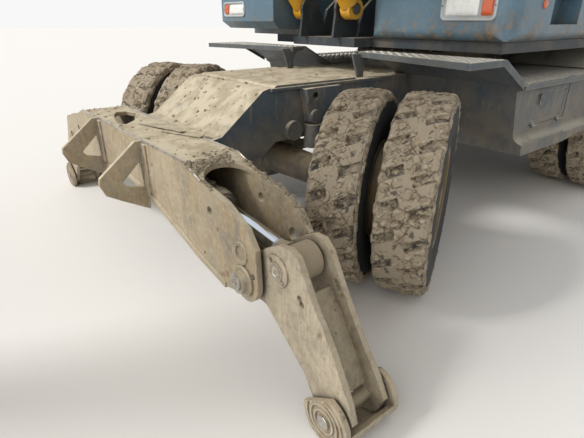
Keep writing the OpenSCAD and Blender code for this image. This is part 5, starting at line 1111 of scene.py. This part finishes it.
def seatWorks(look):
    f, ym = look["floor"], look["middle"]
    base, frames, levers, wheel = [], [], [], []
    bellows = [(k * 0.0195, 0.012 * (k % 2)) for k in range(13)]
    for lower, upper in zip(bellows, bellows[1:]):
        points = []
        for rise, out in (lower, upper):
            back, ahead, half = -0.14 - out, 0.275 + out, 0.185 + out
            for a, b in ((back, -half), (ahead, -half), (ahead, half), (back, half)):
                points.append(Vector((a, ym + b, f + 0.02 + rise)))
        faces = [(3, 2, 1, 0), (4, 5, 6, 7)] + [(k, (k + 1) % 4, 4 + (k + 1) % 4, 4 + k) for k in range(4)]
        base.append((points, faces))
    frames.append(slab([(-0.150, 0.0), (0.300, 0.0), (0.300, 0.022), (-0.150, 0.022)], (0, ym, f), (1, 0, 0),
                       (0, 0, 1), -0.2, 0.2))
    frames.append(slab([(-0.175, 0.256), (0.300, 0.256), (0.310, 0.288), (-0.175, 0.288)], (0, ym, f),
                       (1, 0, 0), (0, 0, 1), -0.215, 0.215))
    frames.append(slab([(-0.205, 0.288), (-0.170, 0.288), (-0.225, 0.62), (-0.262, 0.900), (-0.275, 0.898),
                        (-0.248, 0.60)],
                       (0, ym, f), (1, 0, 0), (0, 0, 1), -0.17, 0.17))
    for y in (-0.05, 0.05):
        frames.append(sweep([(-0.236, ym + y, f + 0.90), (-0.232, ym + y, f + 0.99)], 0.006, 10))
    for side in (-1, 1):
        y = ym + side * 0.310
        frames.append(slab([(0.240, 0.200), (0.320, 0.200), (0.320, 0.262), (0.240, 0.262)],
                           (0, ym + side * 0.165, f), (1, 0, 0), (0, 0, 1), -0.165, 0.165))
        frames.append(slab([(0.245, 0.200), (0.315, 0.200), (0.310, 0.310), (0.245, 0.322)], (0, y, f),
                           (1, 0, 0), (0, 0, 1), -0.02, 0.02))
        frames.append(slab([(-0.080, 0.408), (-0.060, 0.392), (0.325, 0.304), (0.345, 0.320), (0.350, 0.495),
                            (0.330, 0.516), (-0.040, 0.556), (-0.062, 0.540)],
                           (0, y, f), (1, 0, 0), (0, 0, 1), -0.054, 0.054))
        lever = Vector((0.280, y, f + 0.515))
        levers.append(lathe([(0.030, -0.012), (0.032, 0.0), (0.022, 0.012), (0.026, 0.018), (0.016, 0.030),
                             (0.019, 0.036), (0.009, 0.050)], 20, lever, (0, 0, 1)))
        levers.append(lathe([(0.0075, 0.045), (0.0075, 0.062), (0.0165, 0.070), (0.0178, 0.085),
                             (0.0155, 0.100), (0.0175, 0.120), (0.0165, 0.138), (0.008, 0.1445)], 20, lever,
                             (0, 0, 1)))
    column = [(0.760, 0.0), (0.900, 0.0), (0.868, 0.22), (0.806, 0.60), (0.795, 0.618), (0.728, 0.618),
              (0.722, 0.60), (0.742, 0.22)]
    frames.append(slab(column, (0, ym, f), (1, 0, 0), (0, 0, 1), -0.058, 0.058))
    tilt = Matrix.Rotation(math.radians(-35), 3, "Y")
    centre = Vector((0.700, ym, f + 0.670))
    rim = [centre + tilt @ Vector((0.1745 * math.cos(a), 0.1745 * math.sin(a),
                                   0)) for a in [2 * math.pi * k / 48 for k in range(48)]]
    wheel.append(sweep(rim, 0.0145, 12, closed=True))
    axis = tilt @ Vector((0, 0, 1))
    wheel.append(lathe([(0.016, -0.05), (0.024, -0.02), (0.040, -0.012), (0.042, 0.004), (0.034, 0.012),
                        (0.0006, 0.0135)], 28, centre, axis))
    for angle in (0.5, 2.64, 4.71):
        out = tilt @ Vector((math.cos(angle), math.sin(angle), 0))
        wheel.append(sweep([centre + out * 0.03, centre + out * 0.1 - axis * 0.004, centre + out * 0.172],
                           0.009, 8))
    wheel.append(sweep([centre - axis * 0.045, centre - axis * 0.01], 0.018, 14))
    addPiece("seat_bellows", "upper", base, rubberSeal, stands=("seat_and_console",))
    addPiece("seat_frame_and_consoles", "upper", frames, trimGrey, bevel=0.006,
             stands=("seat_and_console",))
    addPiece("control_levers", "upper", levers, trimBlack, smooth=True,
             stands=("seat_and_console",))
    addPiece("steering_wheel", "upper", wheel, trimBlack, smooth=True,
             stands=("seat_and_console",))


seatWorks(seatLook)
print("stage: cab fittings")


# wheel nuts on every disc, slew ring bolts and the mirrors' glass
hubLook = {"nuts": 10, "circle": 0.200, "nut": 0.0165}


def wheelNuts(look):
    for corner, (centre, turn, side) in wheelPlaces.items():
        spin = Matrix.Rotation(turn, 3, "Z")
        out = spin @ Vector((0, side, 0))
        ground = surfaceOf(["rims_" + corner])
        parts = []
        for k in range(look["nuts"]):
            angle = 2 * math.pi * k / look["nuts"] + 0.2
            radial = spin @ Vector((math.cos(angle), 0, math.sin(angle))) * look["circle"]
            hit = ground.ray_cast(Vector(centre) + radial + out * 0.75, -out)
            if hit[0] is None:
                continue
            parts += bolt(hit[0], out, look["nut"], 0.020, angle)
            parts.append(lathe([(0.0085, 0.0), (0.0085, 0.030), (0.007, 0.032)], 12, hit[0], out))
        addPiece("wheel_nuts_" + corner, "wheels_" + corner, parts, boltSteel)


wheelNuts(hubLook)
ringBolts = []
for k in range(36):
    angle = 2 * math.pi * k / 36
    ringBolts += bolt((0.575 * math.cos(angle), 0.575 * math.sin(angle), 1.158), (0, 0, 1), 0.0105, 0.012,
                      angle)
addPiece("slew_ring_bolts", "chassis", ringBolts, boltSteel)
print("stage: nuts and bolts")


# mirrors: silvered glass let into each housing's face
def mirrorPane(x, y0, y1, z0, z1):
    frameLine = roundedFrame(y0 + 0.010, y1 - 0.010, z0 + 0.012, z1 - 0.012, 0.024)
    inner = roundedFrame(y0 + 0.013, y1 - 0.013, z0 + 0.015, z1 - 0.015, 0.022)
    levels = [(x + 0.001, frameLine), (x - 0.0015, frameLine), (x - 0.0025, inner)]
    points, faces = ringed(levels)
    count = len(frameLine)
    faces.append(tuple(range(count - 1, -1, -1)))
    faces.append(tuple(2 * count + k for k in range(count)))
    return points, faces


addPiece("mirror_glass_left", "upper", [mirrorPane(1.408, 1.135, 1.285, 2.260, 2.600)], mirrorGlass)
addPiece("mirror_glass_right", "upper", [mirrorPane(1.212, -1.25, -1.06, 2.385, 2.685)], mirrorGlass)


# steel oil pipes in clamps along the boom's and the arm's flanks: node, side, path in x and z
pipeLook = {"radius": 0.014, "clampEvery": 0.62}
pipeRuns = [
    ("boom", [(0.95, 2.62), (1.60, 3.28), (2.25, 3.66), (3.30, 3.72), (4.40, 3.56), (5.20, 3.42)],
     (0.0, 0.055)),
    ("arm", [(5.62, 3.02), (5.52, 2.50), (5.42, 2.00), (5.34, 1.60)], (0.0, 0.05)),
]


def oilPipes(look):
    for node, path, offsets in pipeRuns:
        ground = surfaceOf([node])
        pipes, clamps = [], []
        for side in (1, -1):
            for step in offsets:
                line, since = [], 0.0
                for spot in filled([Vector((x, 0, z)) for x, z in path], 0.06):
                    shift = spot + (Vector((0, 0, step)) if node == "boom" else Vector((step, 0, 0)))
                    hit = ground.ray_cast(Vector((shift.x, -0.125 + side * 0.9, shift.z)),
                                          Vector((0, -side, 0)))
                    if hit[0] is None or abs(hit[1].y) < 0.9 or hit[3] > 0.85:
                        continue
                    line.append(hit[0] + Vector((0, side * (look["radius"] + 0.006), 0)))
                if len(line) < 6:
                    continue
                reach = max(abs(p.y + 0.125) for p in line)
                line = [Vector((p.x, -0.125 + side * reach, p.z)) for p in line]
                root, tip = line[0] - Vector((0, side * (look["radius"] + 0.012), 0)), line[-1] - Vector((0,
                    side * (look["radius"] + 0.012), 0))
                pipes.append(sweep(bent([root] + line + [tip], 0.03), look["radius"], 12))
                for a, b in zip(line, line[1:]):
                    since += (b - a).length
                    if since > look["clampEvery"] and step == offsets[0]:
                        since = 0.0
                        up = Vector((0, 0, 1)) if node == "boom" else Vector((1, 0, 0))
                        along = (b - a).normalized()
                        cross = along.cross(Vector((0, 1, 0)))
                        cross = cross if cross.dot(up) > 0 else -cross
                        middle = a + cross * (offsets[1] / 2) * 1.02
                        plate = [(-0.024, -0.052), (0.024, -0.052), (0.024, 0.052), (-0.024, 0.052)]
                        low, high = -look["radius"] - 0.008, look["radius"] + 0.004
                        out = along.cross(cross)
                        low, high = (low, high) if out.y * side > 0 else (-high, -low)
                        clamps.append(slab(plate, middle, along, cross, low, high))
                        clamps += bolt(middle + Vector((0, side * (look["radius"] + 0.004), 0)), (0, side, 0),
                                       0.009)
        addPiece(node + "_oil_pipes", node, pipes, castIron, smooth=True)
        addPiece(node + "_pipe_clamps", node, clamps, boltSteel)


oilPipes(pipeLook)
print("stage: oil pipes")


# floor, light and surroundings
studioLook = {
    "floor": "#eeebe6", "sky": 0.5, "shown": 0.94, "keyFrom": (9.0, -4.5, 8.5), "keyStrength": 2.1,
    "keyAngle": 12,
    "fillFrom": (9.0, 1.5, 5.0), "fillStrength": 1.2,
}


def buildStudio(look):
    side = 90.0
    mesh = bpy.data.meshes.new("studio_floor")
    mesh.from_pydata([(-side, -side, 0), (side, -side, 0), (side, side, 0), (-side, side, 0)], [],
                     [(0, 1, 2, 3)])
    floor = bpy.data.objects.new("studio_floor", mesh)
    floor.location.z = -0.002
    bpy.context.scene.collection.objects.link(floor)
    material, tree = startMaterial("pale_studio_floor")
    finishMaterial(tree, {"Base Color": look["floor"], "Roughness": 0.9}, {})
    floor.data.materials.append(material)
    for name, place, strength, angle in (
        ("keyLight", look["keyFrom"], look["keyStrength"], look["keyAngle"]),
        ("fillLight", look["fillFrom"], look["fillStrength"], 60),
    ):
        data = bpy.data.lights.new(name, "SUN")
        data.energy = strength
        data.angle = math.radians(angle)
        lamp = bpy.data.objects.new(name, data)
        lamp.rotation_euler = (-Vector(place)).to_track_quat("-Z", "Y").to_euler()
        lamp.location = place
        bpy.context.scene.collection.objects.link(lamp)
    world = bpy.data.worlds.new("studioSurround")
    bpy.context.scene.world = world
    world.use_nodes = True
    tree = world.node_tree
    tree.nodes.clear()
    rays = addNode(tree, "LightPath")
    seen = addNode(tree, "Math", {"operation": "MAXIMUM"},
                   {0: rays.outputs["Is Camera Ray"], 1: rays.outputs["Is Transmission Ray"]})
    seen = addNode(tree, "Math", {"operation": "MAXIMUM"}, {0: seen, 1: rays.outputs["Is Glossy Ray"]})
    strength = addNode(tree, "MapRange", {"To Min": look["sky"], "To Max": look["shown"]}, {"Value": seen})
    glow = addNode(tree, "Background", {"Color": (1, 1, 1, 1)}, {"Strength": strength})
    addNode(tree, "OutputWorld", {}, {"Surface": glow})
    bpy.context.scene.view_settings.view_transform = "Standard"


buildStudio(studioLook)
print("stage: studio set")
